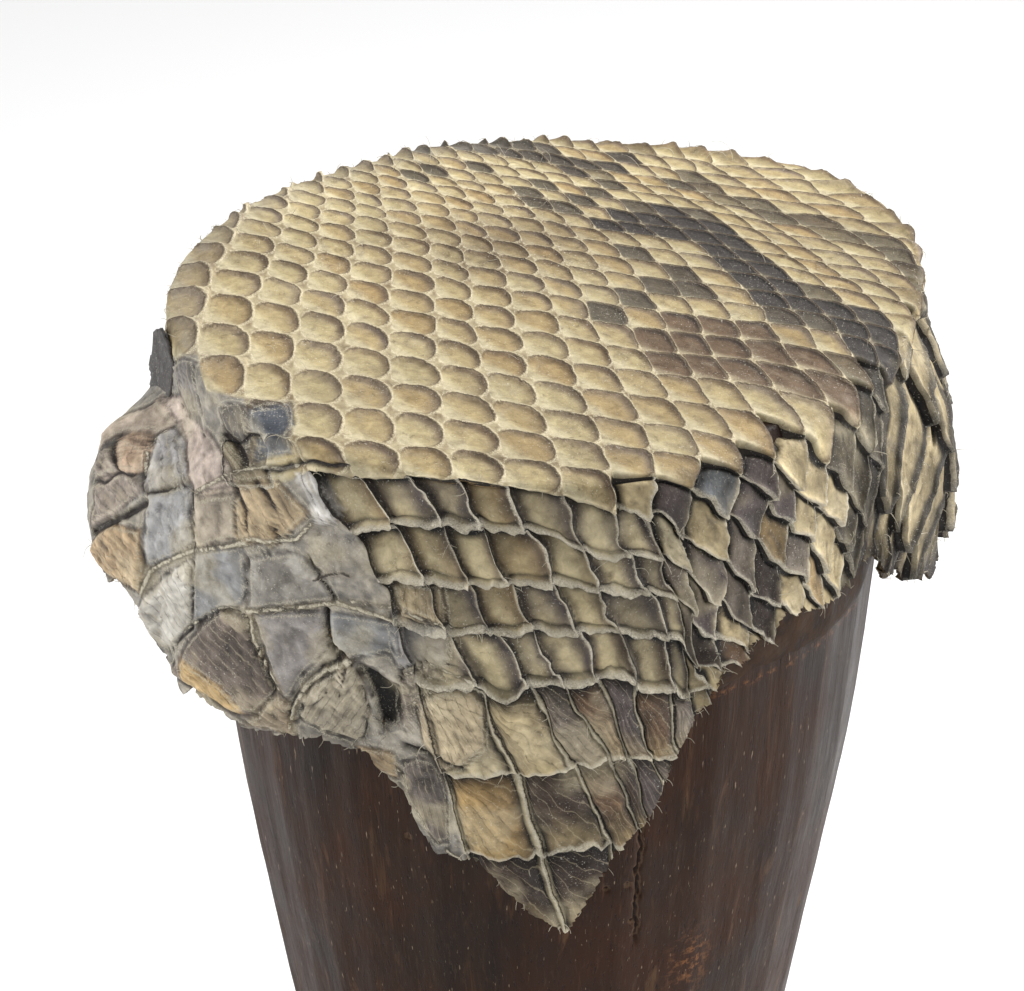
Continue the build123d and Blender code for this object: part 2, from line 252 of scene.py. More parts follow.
class Nodes:
    """Short hand for building a shader."""

    def __init__(self, name):
        self.mat = bpy.data.materials.new(name)
        self.mat.use_nodes = True
        self.tree = self.mat.node_tree
        self.tree.nodes.clear()
        self.out = self.tree.nodes.new("ShaderNodeOutputMaterial")
        self.bsdf = self.tree.nodes.new("ShaderNodeBsdfPrincipled")
        self.link(self.bsdf.outputs[0], self.out.inputs[0])

    def link(self, a, b):
        self.tree.links.new(a, b)

    def node(self, kind, **values):
        n = self.tree.nodes.new(kind)
        for k, v in values.items():
            setattr(n, k, v)
        return n

    def put(self, socket, value):
        if hasattr(value, "node"):
            self.link(value, socket)
        elif isinstance(value, (tuple, list, np.ndarray)) and len(socket.default_value) == 4 and len(value) == 3:
            socket.default_value = (*[float(x) for x in value], 1)
        elif isinstance(value, (tuple, list, np.ndarray)):
            socket.default_value = [float(x) for x in value]
        else:
            socket.default_value = float(value)

    def coords(self, scale=(1, 1, 1), rotation=(0, 0, 0)):
        tc = self.node("ShaderNodeTexCoord")
        mp = self.node("ShaderNodeMapping")
        self.link(tc.outputs["Object"], mp.inputs["Vector"])
        mp.inputs["Scale"].default_value = scale
        mp.inputs["Rotation"].default_value = rotation
        return mp.outputs[0]

    def noise(self, vector, scale, detail=3, rough=0.55, distortion=0.0):
        n = self.node("ShaderNodeTexNoise")
        self.link(vector, n.inputs["Vector"])
        n.inputs["Scale"].default_value = scale
        n.inputs["Detail"].default_value = detail
        n.inputs["Roughness"].default_value = rough
        n.inputs["Distortion"].default_value = distortion
        return n.outputs[0]

    def ramp(self, value, lo, hi, a=0.0, b=1.0):
        n = self.node("ShaderNodeMapRange")
        n.clamp = True
        self.put(n.inputs["Value"], value)
        for key, v in (("From Min", lo), ("From Max", hi), ("To Min", a), ("To Max", b)):
            n.inputs[key].default_value = v
        return n.outputs[0]

    def math(self, op, a, b=0.0):
        n = self.node("ShaderNodeMath", operation=op)
        self.put(n.inputs[0], a)
        self.put(n.inputs[1], b)
        return n.outputs[0]

    def mix(self, factor, a, b, blend="MIX"):
        n = self.node("ShaderNodeMix", data_type="RGBA", blend_type=blend)
        self.put(n.inputs["Factor"], factor)
        self.put(n.inputs[6], a)
        self.put(n.inputs[7], b)
        return n.outputs[2]

    def attribute(self, name, output="Color"):
        n = self.node("ShaderNodeAttribute", attribute_name=name)
        return n.outputs[output]

    def bump(self, height, distance, strength=1.0):
        n = self.node("ShaderNodeBump")
        n.inputs["Strength"].default_value = strength
        n.inputs["Distance"].default_value = distance
        self.link(height, n.inputs["Height"])
        return n.outputs[0]


# ------------------------------------------------------------ the skin's smooth shape
def skirt_radius(phi, d):
    left = smooth(phi, -112, -98) * (1 - smooth(phi, -66, -52))
    share = table(STAND_OFF, d) * (1 - left) + table(LEFT_STAND_OFF, d) * left
    off = table(HEM, phi, 2) * (1 - 0.1 * left * (1 - smooth(d, 38, 52))) * (1 - 0.45 * smooth(-phi, 80, 90) * (1 - smooth(-phi, 100, 120)))
    return table(SKIN_CLOSE, d) + off * share


def skin_surface(uv):
    """Point of the skin's outside, in millimetres, for flattened positions uv."""
    u, v = uv[..., 0], uv[..., 1]
    s = np.hypot(u, v)
    phi = np.degrees(np.arctan2(u, -v))
    k = table(FOLD, phi)
    x = s - 100.0
    d = (x + np.sqrt(x * x + k * k)) / 2 - (np.sqrt(1e4 + k * k) - 100.0) / 2
    y = s - 98.8
    r = skirt_radius(phi, d) + (y - np.sqrt(y * y + k * k)) / 2
    wide = table(WIDER, phi) * smooth(s, 76, 98.5) * (1 - smooth(d, 6, 50))
    r = r * (1 + wide)
    a = np.radians(phi)
    wave = 0.5 * np.sin(u / 17.0 + 1.3) * np.cos(v / 23.0) * (1 - smooth(s, 70, 92))
    return np.stack([r * np.sin(a), -r * np.cos(a), HEIGHT - 0.9 - d + wave], -1)


def skin_normal(uv):
    e = 0.6
    du = skin_surface(uv + [e, 0]) - skin_surface(uv - [e, 0])
    dv = skin_surface(uv + [0, e]) - skin_surface(uv - [0, e])
    n = np.cross(du, dv)
    return n / np.linalg.norm(n, axis=-1, keepdims=True), du / (2 * e), dv / (2 * e)


def spline(points, values, stiffness):
    """Thin-plate spline through points, slightly relaxed."""
    n = len(points)
    d = np.linalg.norm(points[:, None] - points[None], axis=-1)
    m = np.zeros((n + 3, n + 3))
    m[:n, :n] = d * d * np.log(d + 1e-9) + stiffness * np.eye(n)
    m[:n, n], m[:n, n + 1:] = 1, points
    m[n, :n], m[n + 1:, :n] = 1, points.T
    w = np.linalg.solve(m, np.vstack([values, np.zeros((3, 2))]))

    def at(q):
        out = np.empty((len(q), 2))
        for k in range(0, len(q), 20000):
            c = q[k:k + 20000]
            d2 = ((c[:, None, :] - points[None]) ** 2).sum(-1)
            out[k:k + 20000] = (0.5 * d2 * np.log(d2 + 1e-18)) @ w[:n] + w[n] + c @ w[n + 1:]
        return out

    return at


# ------------------------------------------------------------ scale colours
CREAM = srgb(208, 190, 150)
PALE = srgb(228, 215, 182)
TAN = srgb(178, 152, 108)
AMBER = srgb(176, 146, 96)
BROWN = srgb(112, 88, 66)
GREY = srgb(128, 118, 108)
BLUEGREY = srgb(104, 108, 112)
BLACK = srgb(44, 41, 40)
UMBER = srgb(60, 44, 34)
PLUM = srgb(92, 82, 82)

# dark markings on the head, as lines with a half width, in flattened millimetres
BANDS = [
    ([(22, 47), (36, 50), (42, 40), (50, 32), (55, 25), (60, 12), (65, 2), (75, -5), (81, -13), (86, -25),
      (88, -40), (88, -55), (93, -64), (107, -75), (123, -87)], 7.0, 1.0),
    ([(80, -14), (92, -30), (97, -50), (112, -70)], 5.0, 1.0),
    ([(58, -7), (76, -12)], 3.5, 0.9),
    ([(40, 75), (45, 65), (53, 60), (62, 52), (70, 43), (80, 37), (88, 28), (95, 20), (100, 10)], 2.4, 0.75),
    ([(-37, 96), (-15, 94), (0, 88), (12, 80), (25, 85)], 4.5, 0.95),
    ([(70, 85), (90, 70), (99, 52)], 4.5, 0.85),
    ([(-60, 118), (-90, 92), (-104, 60), (-112, 34)], 5.0, 0.9),
    ([(110, 60), (126, 22), (128, -10)], 6.0, 0.9),
    ([(40, 120), (0, 132), (-40, 140)], 5.0, 0.9),
]
SPOTS = [
    (25, 28), (38, 18), (30, 7), (42, 5), (23, -2), (18, -12), (13.5, 68), (18.5, 72), (-6, 66), (0, 68),
    (-30, 80), (-20, 80), (-37, 75), (3, 57), (10, 57), (30, 56), (19.6, 46), (26.7, 44.6), (43, 68), (-70, -64),
]
DULL = [
    (36, -16), (46, -17), (56.5, -17), (38, -27), (48.7, -29), (60, -31), (32, -37), (42, -40), (53, -43),
    (64, -44), (73, -46), (66, -31), (31, -22), (27, -28), (70, -34), (80, -48), (58, -38),
]
# scales of the skirt whose colour differs from their neighbours
SKIRT_TONE = {
    (10, 4): PLUM, (11, 3): BLUEGREY, (12, 2): PLUM, (13, 1): CREAM, (11, 4): CREAM, (12, 3): PLUM,
    (13, 2): PLUM, (14, 1): CREAM, (10, 5): PALE, (11, 5): PLUM, (12, 4): GREY, (13, 3): TAN,
    (14, 2): CREAM, (15, 1): CREAM, (10, 6): GREY, (11, 6): PLUM, (12, 5): GREY, (13, 4): UMBER,
    (14, 3): GREY, (15, 2): CREAM, (12, 6): CREAM, (13, 5): UMBER, (14, 4): CREAM, (15, 3): TAN,
    (11, 7): UMBER, (9, 5): PLUM, (9, 4): CREAM, (10, 7): GREY, (12, 7): BROWN,
    (2, 8): GREY, (1, 8): BLUEGREY, (0, 8): GREY, (0, 7): BLUEGREY, (0, 6): BLUEGREY, (1, 6): GREY, (1, 7): GREY,
    (3, 8): GREY, (4, 8): PLUM, (5, 8): GREY, (6, 8): PLUM, (7, 8): BROWN, (8, 8): BROWN,
    (2, 9): TAN, (3, 9): PALE, (4, 9): CREAM, (5, 9): GREY, (6, 9): BROWN, (7, 9): PLUM, (8, 9): BROWN,
    (2, 10): UMBER, (3, 10): AMBER, (4, 10): UMBER, (5, 10): BROWN, (6, 10): UMBER, (7, 10): PLUM,
    (3, 11): UMBER, (4, 11): UMBER, (5, 11): AMBER, (3, 12): UMBER, (4, 12): AMBER,
    (2, 5): PLUM, (3, 5): TAN, (4, 5): PLUM, (5, 5): GREY, (6, 5): TAN, (7, 5): GREY, (8, 5): PLUM,
    (3, 6): CREAM, (4, 6): TAN, (5, 6): CREAM, (6, 6): TAN, (7, 6): CREAM, (8, 6): GREY,
    (3, 7): GREY, (4, 7): PLUM, (5, 7): TAN, (6, 7): PLUM, (7, 7): CREAM, (8, 7): GREY, (2, 7): GREY,
    (-1, 8): TAN, (-1, 7): TAN, (-1, 6): BLUEGREY, (-2, 6): TAN, (-2, 7): TAN,
}

# marks of the torn left side of the skin, in flattened millimetres.
# Patches: colour, strength, how far it stands up, angle of its growth lines, outline.
# Strokes: colour, strength, half width, how far it stands up (below 0: sunk; the dark sunk strokes are cracks and
# painted shadow lines beside ridges), line.
PATCHES = [
    ((168, 152, 132), 0.85, 0.3, None, [(-134.4, -22.6), (-129.6, -20.2), (-128.8, -14.6), (-120, -23.4), (-116.8, -23.4), (-107.2, -35.4), (-108, -41.8), (-116, -40.2), (-118.4, -41), (-124.8, -27.4), (-130.4, -25.8)]),
    ((146, 143, 138), 0.9, 1, -81, [(-116, -39.4), (-112, -41.8), (-108, -51.4), (-106.4, -61.8), (-112, -61.8), (-117.6, -57.8), (-118.4, -50.6), (-117.6, -43.4)]),
    ((176, 148, 120), 0.85, 0.6, -96, [(-124.8, -27.4), (-117.6, -37), (-116, -44.2), (-118.4, -49.8), (-120.8, -48.2), (-124.8, -42.6), (-125.6, -33)]),
    ((138, 126, 112), 0.85, 0.9, -72, [(-135.2, -22.6), (-125.6, -30.6), (-124.8, -42.6), (-132, -38.6), (-136, -32.2)]),
    ((120, 108, 96), 0.85, 0.2, -73, [(-136, -33), (-124.8, -42.6), (-120.8, -48.2), (-119.2, -55.4), (-133.6, -49.8), (-149.6, -37.8), (-139.2, -37.8)]),
    ((182, 165, 150), 0.9, 0, None, [(-116.8, -23.4), (-107.2, -35.4), (-107.2, -44.2), (-95.2, -59.4), (-88, -73.8), (-89.6, -79.4), (-102.4, -72.2), (-106.4, -61.8), (-108.8, -48.2)]),
    ((138, 137, 133), 0.9, 0.6, None, [(-117.6, -57.8), (-104.8, -66.6), (-109.6, -81), (-120.8, -77.8), (-133.6, -70.6), (-124.8, -64.2)]),
    ((152, 128, 94), 0.9, 0.9, -74, [(-155.2, -37), (-136.8, -49.8), (-125.6, -63.4), (-133.6, -70.6), (-143.2, -72.2), (-155.2, -52.2), (-160.8, -37.8)]),
    ((158, 145, 124), 0.8, 0.2, None, [(-104, -69.8), (-88.8, -77.8), (-95.2, -89.8), (-110.4, -82.6)]),
    ((128, 128, 125), 0.9, 0.1, None, [(-110.4, -82.6), (-93.6, -93), (-104.8, -105), (-115.2, -101), (-132, -94.6)]),
    ((170, 165, 152), 0.9, 0.7, -96, [(-155.2, -69.8), (-132.8, -76.2), (-113.6, -83.4), (-132, -94.6), (-152, -87.4), (-155.2, -80.2)]),
    ((94, 82, 72), 0.92, 1, -73, [(-147.2, -93), (-115.2, -100.2), (-108, -109), (-110.4, -114.6), (-113.6, -124.2), (-113.6, -130.6), (-128.8, -130.6), (-139.2, -124.2), (-156, -97.8), (-160.8, -89)]),
    ((168, 140, 92), 0.85, 0.2, -72, [(-148.8, -93), (-136.8, -113.8), (-133.6, -125.8), (-140, -122.6), (-156, -97.8)]),
    ((120, 115, 109), 0.92, 0.6, None, [(-104.8, -109), (-78.4, -121.8), (-85.6, -131.4), (-100, -133), (-115.2, -136.2), (-110.4, -121.8)]),
    ((112, 113, 111), 0.9, 0.2, None, [(-77.6, -122.6), (-56, -134.6), (-58.4, -143.4), (-72.8, -139.4), (-80.8, -137), (-83.2, -130.6)]),
    ((150, 140, 118), 0.9, 1.5, -166, [(-111.2, -142.6), (-100.8, -137), (-79.2, -138.6), (-77.6, -147.4), (-80, -156.2), (-89.6, -161.8), (-101.6, -153)]),
    ((48, 40, 34), 0.95, -3.2, None, [(-77.6, -138.6), (-69.6, -145.8), (-64, -153.8), (-64.8, -161.8), (-69.6, -165), (-79.2, -163.4), (-76.8, -152.2)]),
    ((118, 104, 82), 0.9, 0.8, -54, [(-136, -128.2), (-113.6, -131.4), (-111.2, -138.6), (-117.6, -147.4), (-124, -140.2), (-140.8, -126.6)]),
    ((142, 137, 126), 0.85, 0.3, None, [(-94.4, -96.2), (-78.4, -102.6), (-72.8, -113), (-73.6, -121), (-88.8, -114.6), (-104.8, -107.4)]),
    ((162, 140, 104), 0.8, 0.3, -76, [(-88.8, -77.8), (-75.2, -84.2), (-68.8, -96.2), (-82.4, -98.6), (-96, -90.6)]),
    ((196, 192, 182), 0.65, 0.5, -83, [(-69.6, -84.2), (-62.4, -87.4), (-59.2, -99.4), (-62.4, -101.8), (-68.8, -99.4), (-68, -92.2)]),
    ((112, 107, 101), 0.85, 0.4, -120, [(-106.4, -23.4), (-90.4, -35.4), (-97.6, -45), (-98.4, -50.6), (-106.4, -43.4), (-107.2, -33)]),
    ((66, 62, 58), 0.9, 0.2, -120, [(-88.8, -56.2), (-79.2, -57), (-76, -59.4), (-84, -73.8), (-90.4, -61.8)]),
    ((88, 93, 98), 0.85, -0.4, None, [(-75.2, -60.2), (-64.8, -57.8), (-63.2, -68.2), (-68, -80.2), (-82.4, -75.4)]),
    ((58, 64, 72), 0.7, -0.4, None, [(-72, -64.2), (-67.2, -64.2), (-66.4, -71.4), (-71.2, -74.6), (-74.4, -70.6)]),
    ((158, 142, 112), 0.85, 0.8, -61, [(-58.4, -159.4), (-49.6, -158.6), (-32.8, -161), (-27.2, -165.8), (-28.8, -178.6), (-39.2, -183.4), (-54.4, -183.4), (-60, -173)]),
    ((76, 68, 62), 0.9, 0.5, -84, [(-73.6, -175.4), (-63.2, -176.2), (-55.2, -180.2), (-52.8, -189.8), (-57.6, -206.6), (-65.6, -205), (-70.4, -197.8), (-76, -187.4)]),
    ((120, 118, 114), 0.8, 0.4, None, [(-56, -130.6), (-36, -141), (-40.8, -152.2), (-59.2, -155.4), (-62.4, -144.2)]),
    ((92, 82, 70), 0.85, 0.2, -27, [(-61.6, -149), (-44, -153), (-43.2, -158.6), (-53.6, -160.2), (-66.4, -168.2), (-68.8, -161)]),
    ((150, 134, 104), 0.85, 0.6, -103, [(-53.6, -124.2), (-36, -129), (-36.8, -140.2), (-54.4, -134.6)]),
    ((140, 118, 84), 0.8, 0.5, -42, [(-92.8, -161.8), (-75.2, -171.4), (-77.6, -179.4), (-86.4, -174.6), (-93.6, -168.2)]),
    ((150, 140, 120), 0.7, 0.4, -48, [(-89.6, -172.2), (-78.4, -179.4), (-76, -189), (-81.6, -185.8)]),
]
# dark strokes laid just beside a pale ridge are painted shadow lines
STROKES = [
    ((192, 180, 150), 0.9, 0.7, 1.3, [(-106.4, -106.6), (-97.6, -111.4), (-88.8, -115.4), (-80.8, -118.6), (-73.6, -121), (-64.8, -127.4), (-55.2, -134.6)]),
    ((70, 62, 54), 0.8, 0.45, -0.6, [(-94.4, -96.2), (-99.2, -100.2), (-104.8, -104.2)]),
    ((178, 158, 118), 0.9, 1.1, 2.4, [(-116, -141.8), (-109.6, -137.8), (-100.8, -136.2), (-90.4, -136.2), (-79.2, -138.6)]),
    ((40, 34, 28), 0.8, 0.8, -1.4, [(-115.2, -139.4), (-109.6, -137), (-101.6, -135.4), (-90.4, -135.4), (-80.8, -137)]),
    ((152, 130, 88), 0.9, 1, 1.7, [(-105.6, -108.2), (-110.4, -114.6), (-112, -121), (-112.8, -130.6), (-113.6, -133.8)]),
    ((48, 40, 32), 0.8, 0.7, -1.2, [(-108, -108.2), (-112, -113.8), (-113.6, -121), (-115.2, -129.8)]),
    ((26, 22, 20), 0.95, 0.9, -3, [(-78.4, -121.8), (-80.8, -125), (-83.2, -129), (-84, -132.2), (-80.8, -137)]),
    ((56, 50, 44), 0.85, 0.6, -1.2, [(-153.6, -86.6), (-139.2, -92.2), (-128, -96.2), (-120, -98.6), (-113.6, -101.8), (-110.4, -104.2), (-108, -108.2)]),
    ((190, 182, 162), 0.6, 0.5, 0.8, [(-148.8, -88.2), (-135.2, -93), (-124, -97), (-114.4, -100.2), (-108.8, -104.2)]),
    ((76, 70, 64), 0.7, 0.35, -0.5, [(-104, -67.4), (-105.6, -75.4), (-109.6, -81), (-118.4, -87.4), (-132.8, -93.8)]),
    ((40, 34, 30), 0.85, 1.2, -2, [(-150.4, -38.6), (-135.2, -50.6), (-125.6, -56.2), (-119.2, -59.4)]),
    ((184, 172, 144), 0.8, 0.7, 1.2, [(-143.2, -72.2), (-137.6, -72.2), (-132.8, -72.2), (-123.2, -77), (-112.8, -81.8), (-101.6, -88.2), (-92, -93)]),
    ((92, 72, 52), 0.8, 0.6, -0.9, [(-89.6, -76.2), (-88.8, -81), (-88, -85.8), (-90.4, -89.8)]),
    ((84, 66, 48), 0.8, 0.7, -1, [(-82.4, -81), (-80, -85.8), (-79.2, -90.6), (-81.6, -94.6), (-81.6, -97.8)]),
    ((196, 184, 156), 0.7, 0.6, 0.9, [(-96, -90.6), (-90.4, -92.2), (-85.6, -96.2), (-81.6, -97.8), (-76, -100.2), (-69.6, -98.6)]),
    ((44, 38, 34), 0.9, 1, -1.8, [(-90.4, -61.8), (-87.2, -66.6), (-85.6, -70.6), (-84.8, -74.6)]),
    ((60, 50, 42), 0.8, 0.5, -0.8, [(-101.6, -53), (-100, -56.2)]),
    ((60, 50, 42), 0.8, 0.5, -0.8, [(-108.8, -36.2), (-108.8, -37.8)]),
    ((88, 80, 70), 0.7, 0.35, -0.5, [(-124.8, -27.4), (-125.6, -33), (-124.8, -42.6), (-120.8, -48.2)]),
    ((80, 72, 62), 0.7, 0.4, -0.6, [(-124.8, -42.6), (-132, -38.6), (-136, -33)]),
    ((80, 72, 62), 0.7, 0.4, -0.6, [(-118.4, -49.8), (-119.2, -56.2), (-113.6, -61), (-104.8, -66.6)]),
    ((184, 170, 148), 0.6, 0.5, 0.7, [(-118.4, -50.6), (-117.6, -43.4), (-116, -40.2), (-112, -41.8)]),
    ((200, 190, 164), 0.7, 0.6, 1, [(-102.4, -70.6), (-93.6, -73), (-86.4, -75.4), (-80, -77.8), (-73.6, -81.8), (-68, -83.4)]),
    ((46, 40, 36), 0.85, 0.7, -1.6, [(-79.2, -79.4), (-73.6, -81.8), (-68.8, -82.6), (-62.4, -84.2), (-56.8, -87.4), (-51.2, -88.2)]),
    ((120, 108, 92), 0.6, 0.5, 0.8, [(-76.8, -112.2), (-71.2, -113), (-66.4, -114.6), (-64.8, -116.2)]),
    ((70, 60, 50), 0.7, 0.5, -0.8, [(-75.2, -105.8), (-74.4, -113), (-73.6, -121)]),
    ((66, 56, 46), 0.8, 0.5, -0.8, [(-79.2, -138.6), (-78.4, -145), (-80, -153.8), (-87.2, -161.8)]),
    ((90, 80, 66), 0.6, 0.4, -0.4, [(-81.6, -139.4), (-92.8, -141.8), (-104, -142.6)]),
    ((90, 80, 66), 0.6, 0.4, -0.4, [(-80.8, -139.4), (-88.8, -145), (-100, -150.6)]),
    ((78, 68, 58), 0.7, 0.5, -0.8, [(-156, -97.8), (-148, -108.2), (-142.4, -117), (-138.4, -124.2)]),
    ((196, 184, 158), 0.8, 0.5, 0.9, [(-76.8, -176.2), (-74.4, -179.4), (-73.6, -188.2), (-68.8, -200.2), (-60, -209), (-51.2, -213.8)]),
    ((196, 184, 158), 0.8, 0.5, 1, [(-60, -159.4), (-49.6, -158.6), (-32, -160.2), (-25.6, -164.2)]),
    ((40, 34, 30), 0.9, 0.6, -1.2, [(-72, -169.8), (-62.4, -174.6), (-52.8, -179.4), (-38.4, -185.8)]),
    ((196, 184, 158), 0.7, 0.5, 0.9, [(-68.8, -122.6), (-55.2, -129.8), (-46.4, -136.2), (-35.2, -141)]),
    ((196, 184, 158), 0.7, 0.5, 0.9, [(-59.2, -149.8), (-48, -150.6), (-39.2, -155.4), (-27.2, -159.4)]),
    ((40, 34, 30), 0.9, 0.5, -1.2, [(-65.6, -153.8), (-59.2, -148.2), (-43.2, -150.6), (-36.8, -153.8)]),
]


def in_outline(points, outline):
    """Distance inside a closed outline, below 0 outside it."""
    o = np.array(outline, float)
    n = np.roll(o, -1, 0)
    x, y = points[:, 0], points[:, 1]
    odd = np.zeros(len(points), bool)
    for (ax, ay), (bx, by) in zip(o, n):
        if ay != by:
            cross = ((ay > y) != (by > y)) & (x < (bx - ax) * (y - ay) / (by - ay) + ax)
            odd ^= cross
    gap = line_gap(points, list(map(tuple, o)) + [tuple(o[0])])
    return np.where(odd, gap, -gap)


def line_gap(points, line):
    """Distance from points to a polyline."""
    best = np.full(len(points), 1e9)
    for a, b in zip(line, line[1:]):
        a, b = np.array(a, float), np.array(b, float)
        ab = b - a
        t = np.clip(((points - a) @ ab) / (ab @ ab), 0, 1)
        best = np.minimum(best, np.linalg.norm(points - (a + t[:, None] * ab), axis=1))
    return best


def darkness(points):
    out = np.zeros(len(points))
    for line, half, amount in BANDS:
        g = line_gap(points, line)
        out = np.maximum(out, amount * (1 - smooth(g, half * 0.85, half * 1.25)))
    for x, y in SPOTS:
        g = np.hypot(points[:, 0] - x, points[:, 1] - y)
        out = np.maximum(out, 0.85 * (g < 4.2))
    return out


# ------------------------------------------------------------ the scale mesh
RNG = np.random.default_rng(11)
A0, A1, B0, B1 = -12, 36, -28, 13
CHANCE = RNG.random((A1 - A0 + 2, B1 - B0 + 2, 10))

corners = np.array(CORNERS, float)
place = spline(corners[:, :2], corners[:, 2:], 0.6)


def parts_a(i):
    return 10 if i < -6 else (20 if i < 3 else (17 if i < 10 else 12))


def parts_b(j):
    return 8 if j < -6 else (10 if j < 4 else (16 if j < 9 else 26))


def spread(n):
    x = np.arange(n) / n
    return x - 0.45 * np.sin(2 * np.pi * x) / (2 * np.pi)


na = [parts_a(i) for i in range(A0, A1)]
nb = [parts_b(j) for j in range(B0, B1)]
start_a = np.concatenate([[0], np.cumsum(na)])
start_b = np.concatenate([[0], np.cumsum(nb)])
line_a = np.concatenate([i + spread(n) for i, n in zip(range(A0, A1), na)] + [[A1]])
line_b = np.concatenate([j + spread(n) for j, n in zip(range(B0, B1), nb)] + [[B1]])
NA, NB = len(line_a), len(line_b)

mid = np.stack(np.meshgrid(np.arange(A0, A1) + 0.5, np.arange(B0, B1) + 0.5, indexing="ij"), -1)
mid_uv = place(mid.reshape(-1, 2)).reshape(mid.shape)
corner = np.stack(np.meshgrid(np.arange(A0, A1 + 1.0), np.arange(B0, B1 + 1.0), indexing="ij"), -1)
corner_uv = place(corner.reshape(-1, 2)).reshape(corner.shape)

jag_phi = np.linspace(-180, 180, 720)
jag = np.interp(jag_phi, np.linspace(-180, 180, 181), RNG.normal(0, 1.0, 181)) + np.interp(
    jag_phi, np.linspace(-180, 180, 60), RNG.normal(0, 1.2, 60)) + RNG.normal(0, 0.35, 720)


def edge_depth(phi):
    """Depth of the torn edge."""
    calm = 0.45 + 0.55 * smooth(np.abs(phi - 2), 22, 30)
    return table(EDGE, phi) + np.interp(phi, jag_phi, jag) * calm


def inside(uv, slack=0.0):
    phi = np.degrees(np.arctan2(uv[..., 0], -uv[..., 1]))
    return np.hypot(uv[..., 0], uv[..., 1]) - 100 < edge_depth(phi) + slack


cells = []
for i in range(A0, A1):
    for j in range(B0, B1):
        quad = corner_uv[i - A0:i - A0 + 2, j - B0:j - B0 + 2].reshape(4, 2)
        if inside(quad).any() or inside(mid_uv[i - A0, j - B0]):
            p, q, r = quad[0], quad[2], quad[1]
            if np.cross(q - p, r - p) < 0:
                cells.append((i, j))
print("scale cells", len(cells))

used = np.zeros((NA, NB), bool)
for i, j in cells:
    used[start_a[i - A0]:start_a[i - A0 + 1] + 1, start_b[j - B0]:start_b[j - B0 + 1] + 1] = True
ids = np.full((NA, NB), -1)
ids[used] = np.arange(used.sum())
ga, gb = np.meshgrid(line_a, line_b, indexing="ij")
uv = place(np.stack([ga[used], gb[used]], -1))
# dried skin is never quite regular, least of all where it hangs
flat3 = np.stack([uv[:, 0], uv[:, 1], np.zeros(len(uv))], -1)
amount = 0.5 + 1.0 * smooth(np.hypot(uv[:, 0], uv[:, 1]), 96, 112)
for scale_mm, size in ((15.0, 1.5), (6.0, 1.0), (2.6, 0.35)):
    uv[:, 0] += amount * size * (noise3(flat3, scale_mm, 101) - 0.5) * 2
    uv[:, 1] += amount * size * (noise3(flat3, scale_mm, 102) - 0.5) * 2

# keep the small faces that lie inside the torn edge, and pull the rest onto it
phi_v = np.degrees(np.arctan2(uv[:, 0], -uv[:, 1]))
s_v = np.hypot(uv[:, 0], uv[:, 1])
limit = 100 + edge_depth(phi_v)
quads = []
count = np.zeros(len(uv))
height = np.zeros(len(uv))
slide = np.zeros((len(uv), 2))
colour = np.zeros((len(uv), 3))
dark_mid = darkness(mid_uv.reshape(-1, 2)).reshape(mid_uv.shape[:2])
dull = np.zeros(dark_mid.shape, bool)
for x, y in DULL:
    dull |= np.hypot(mid_uv[..., 0] - x, mid_uv[..., 1] - y) < 4.5

kind_of = {}
for i, j in cells:
    u, v = mid_uv[i - A0, j - B0]
    s, phi = math.hypot(u, v), math.degrees(math.atan2(u, -v))
    if (i < 3 and j >= 5) or (s > 100 and -88 < phi < -50 and i < 3):
        kind = "plain"
    elif s < 97 and j < 5:
        kind = "head"
    elif j >= 9 and i < 10:
        kind = "fan"
    elif j >= 5 and 2 <= i < 10:
        kind = "band"
    elif j >= 5 and i < 2:
        kind = "hide"
    elif -100 < phi < -45 and s > 100:
        kind = "leather"
    elif 12 < phi < 100 and s > (97.5 if phi > 32 else 101):
        kind = "bunch"
    else:
        kind = "head"
    kind_of[i, j] = kind


def lerp(a, b, t):
    """Between two colours."""
    return a + (b - a) * np.asarray(t)[..., None]


def ridge_line(i, j, s):
    """How far the raised line at the top of scale (i, j) wanders along the skin, in millimetres."""
    c = CHANCE[i - A0, j - B0]
    return -(0.7 + 1.5 * c[6]) * (1 - s) ** 3 + (0.5 + 0.7 * c[7]) * np.sin(math.pi * s) * (c[8] - 0.35)


def full(shape, colour):
    return np.ones((*shape, 3)) * colour


def plate_power(i, j):
    """How square the plates are: round on the left of the head, four-sided to the right."""
    return 2.3 + 1.2 * float(smooth(mid_uv[i - A0, j - B0][0], -25, 40))


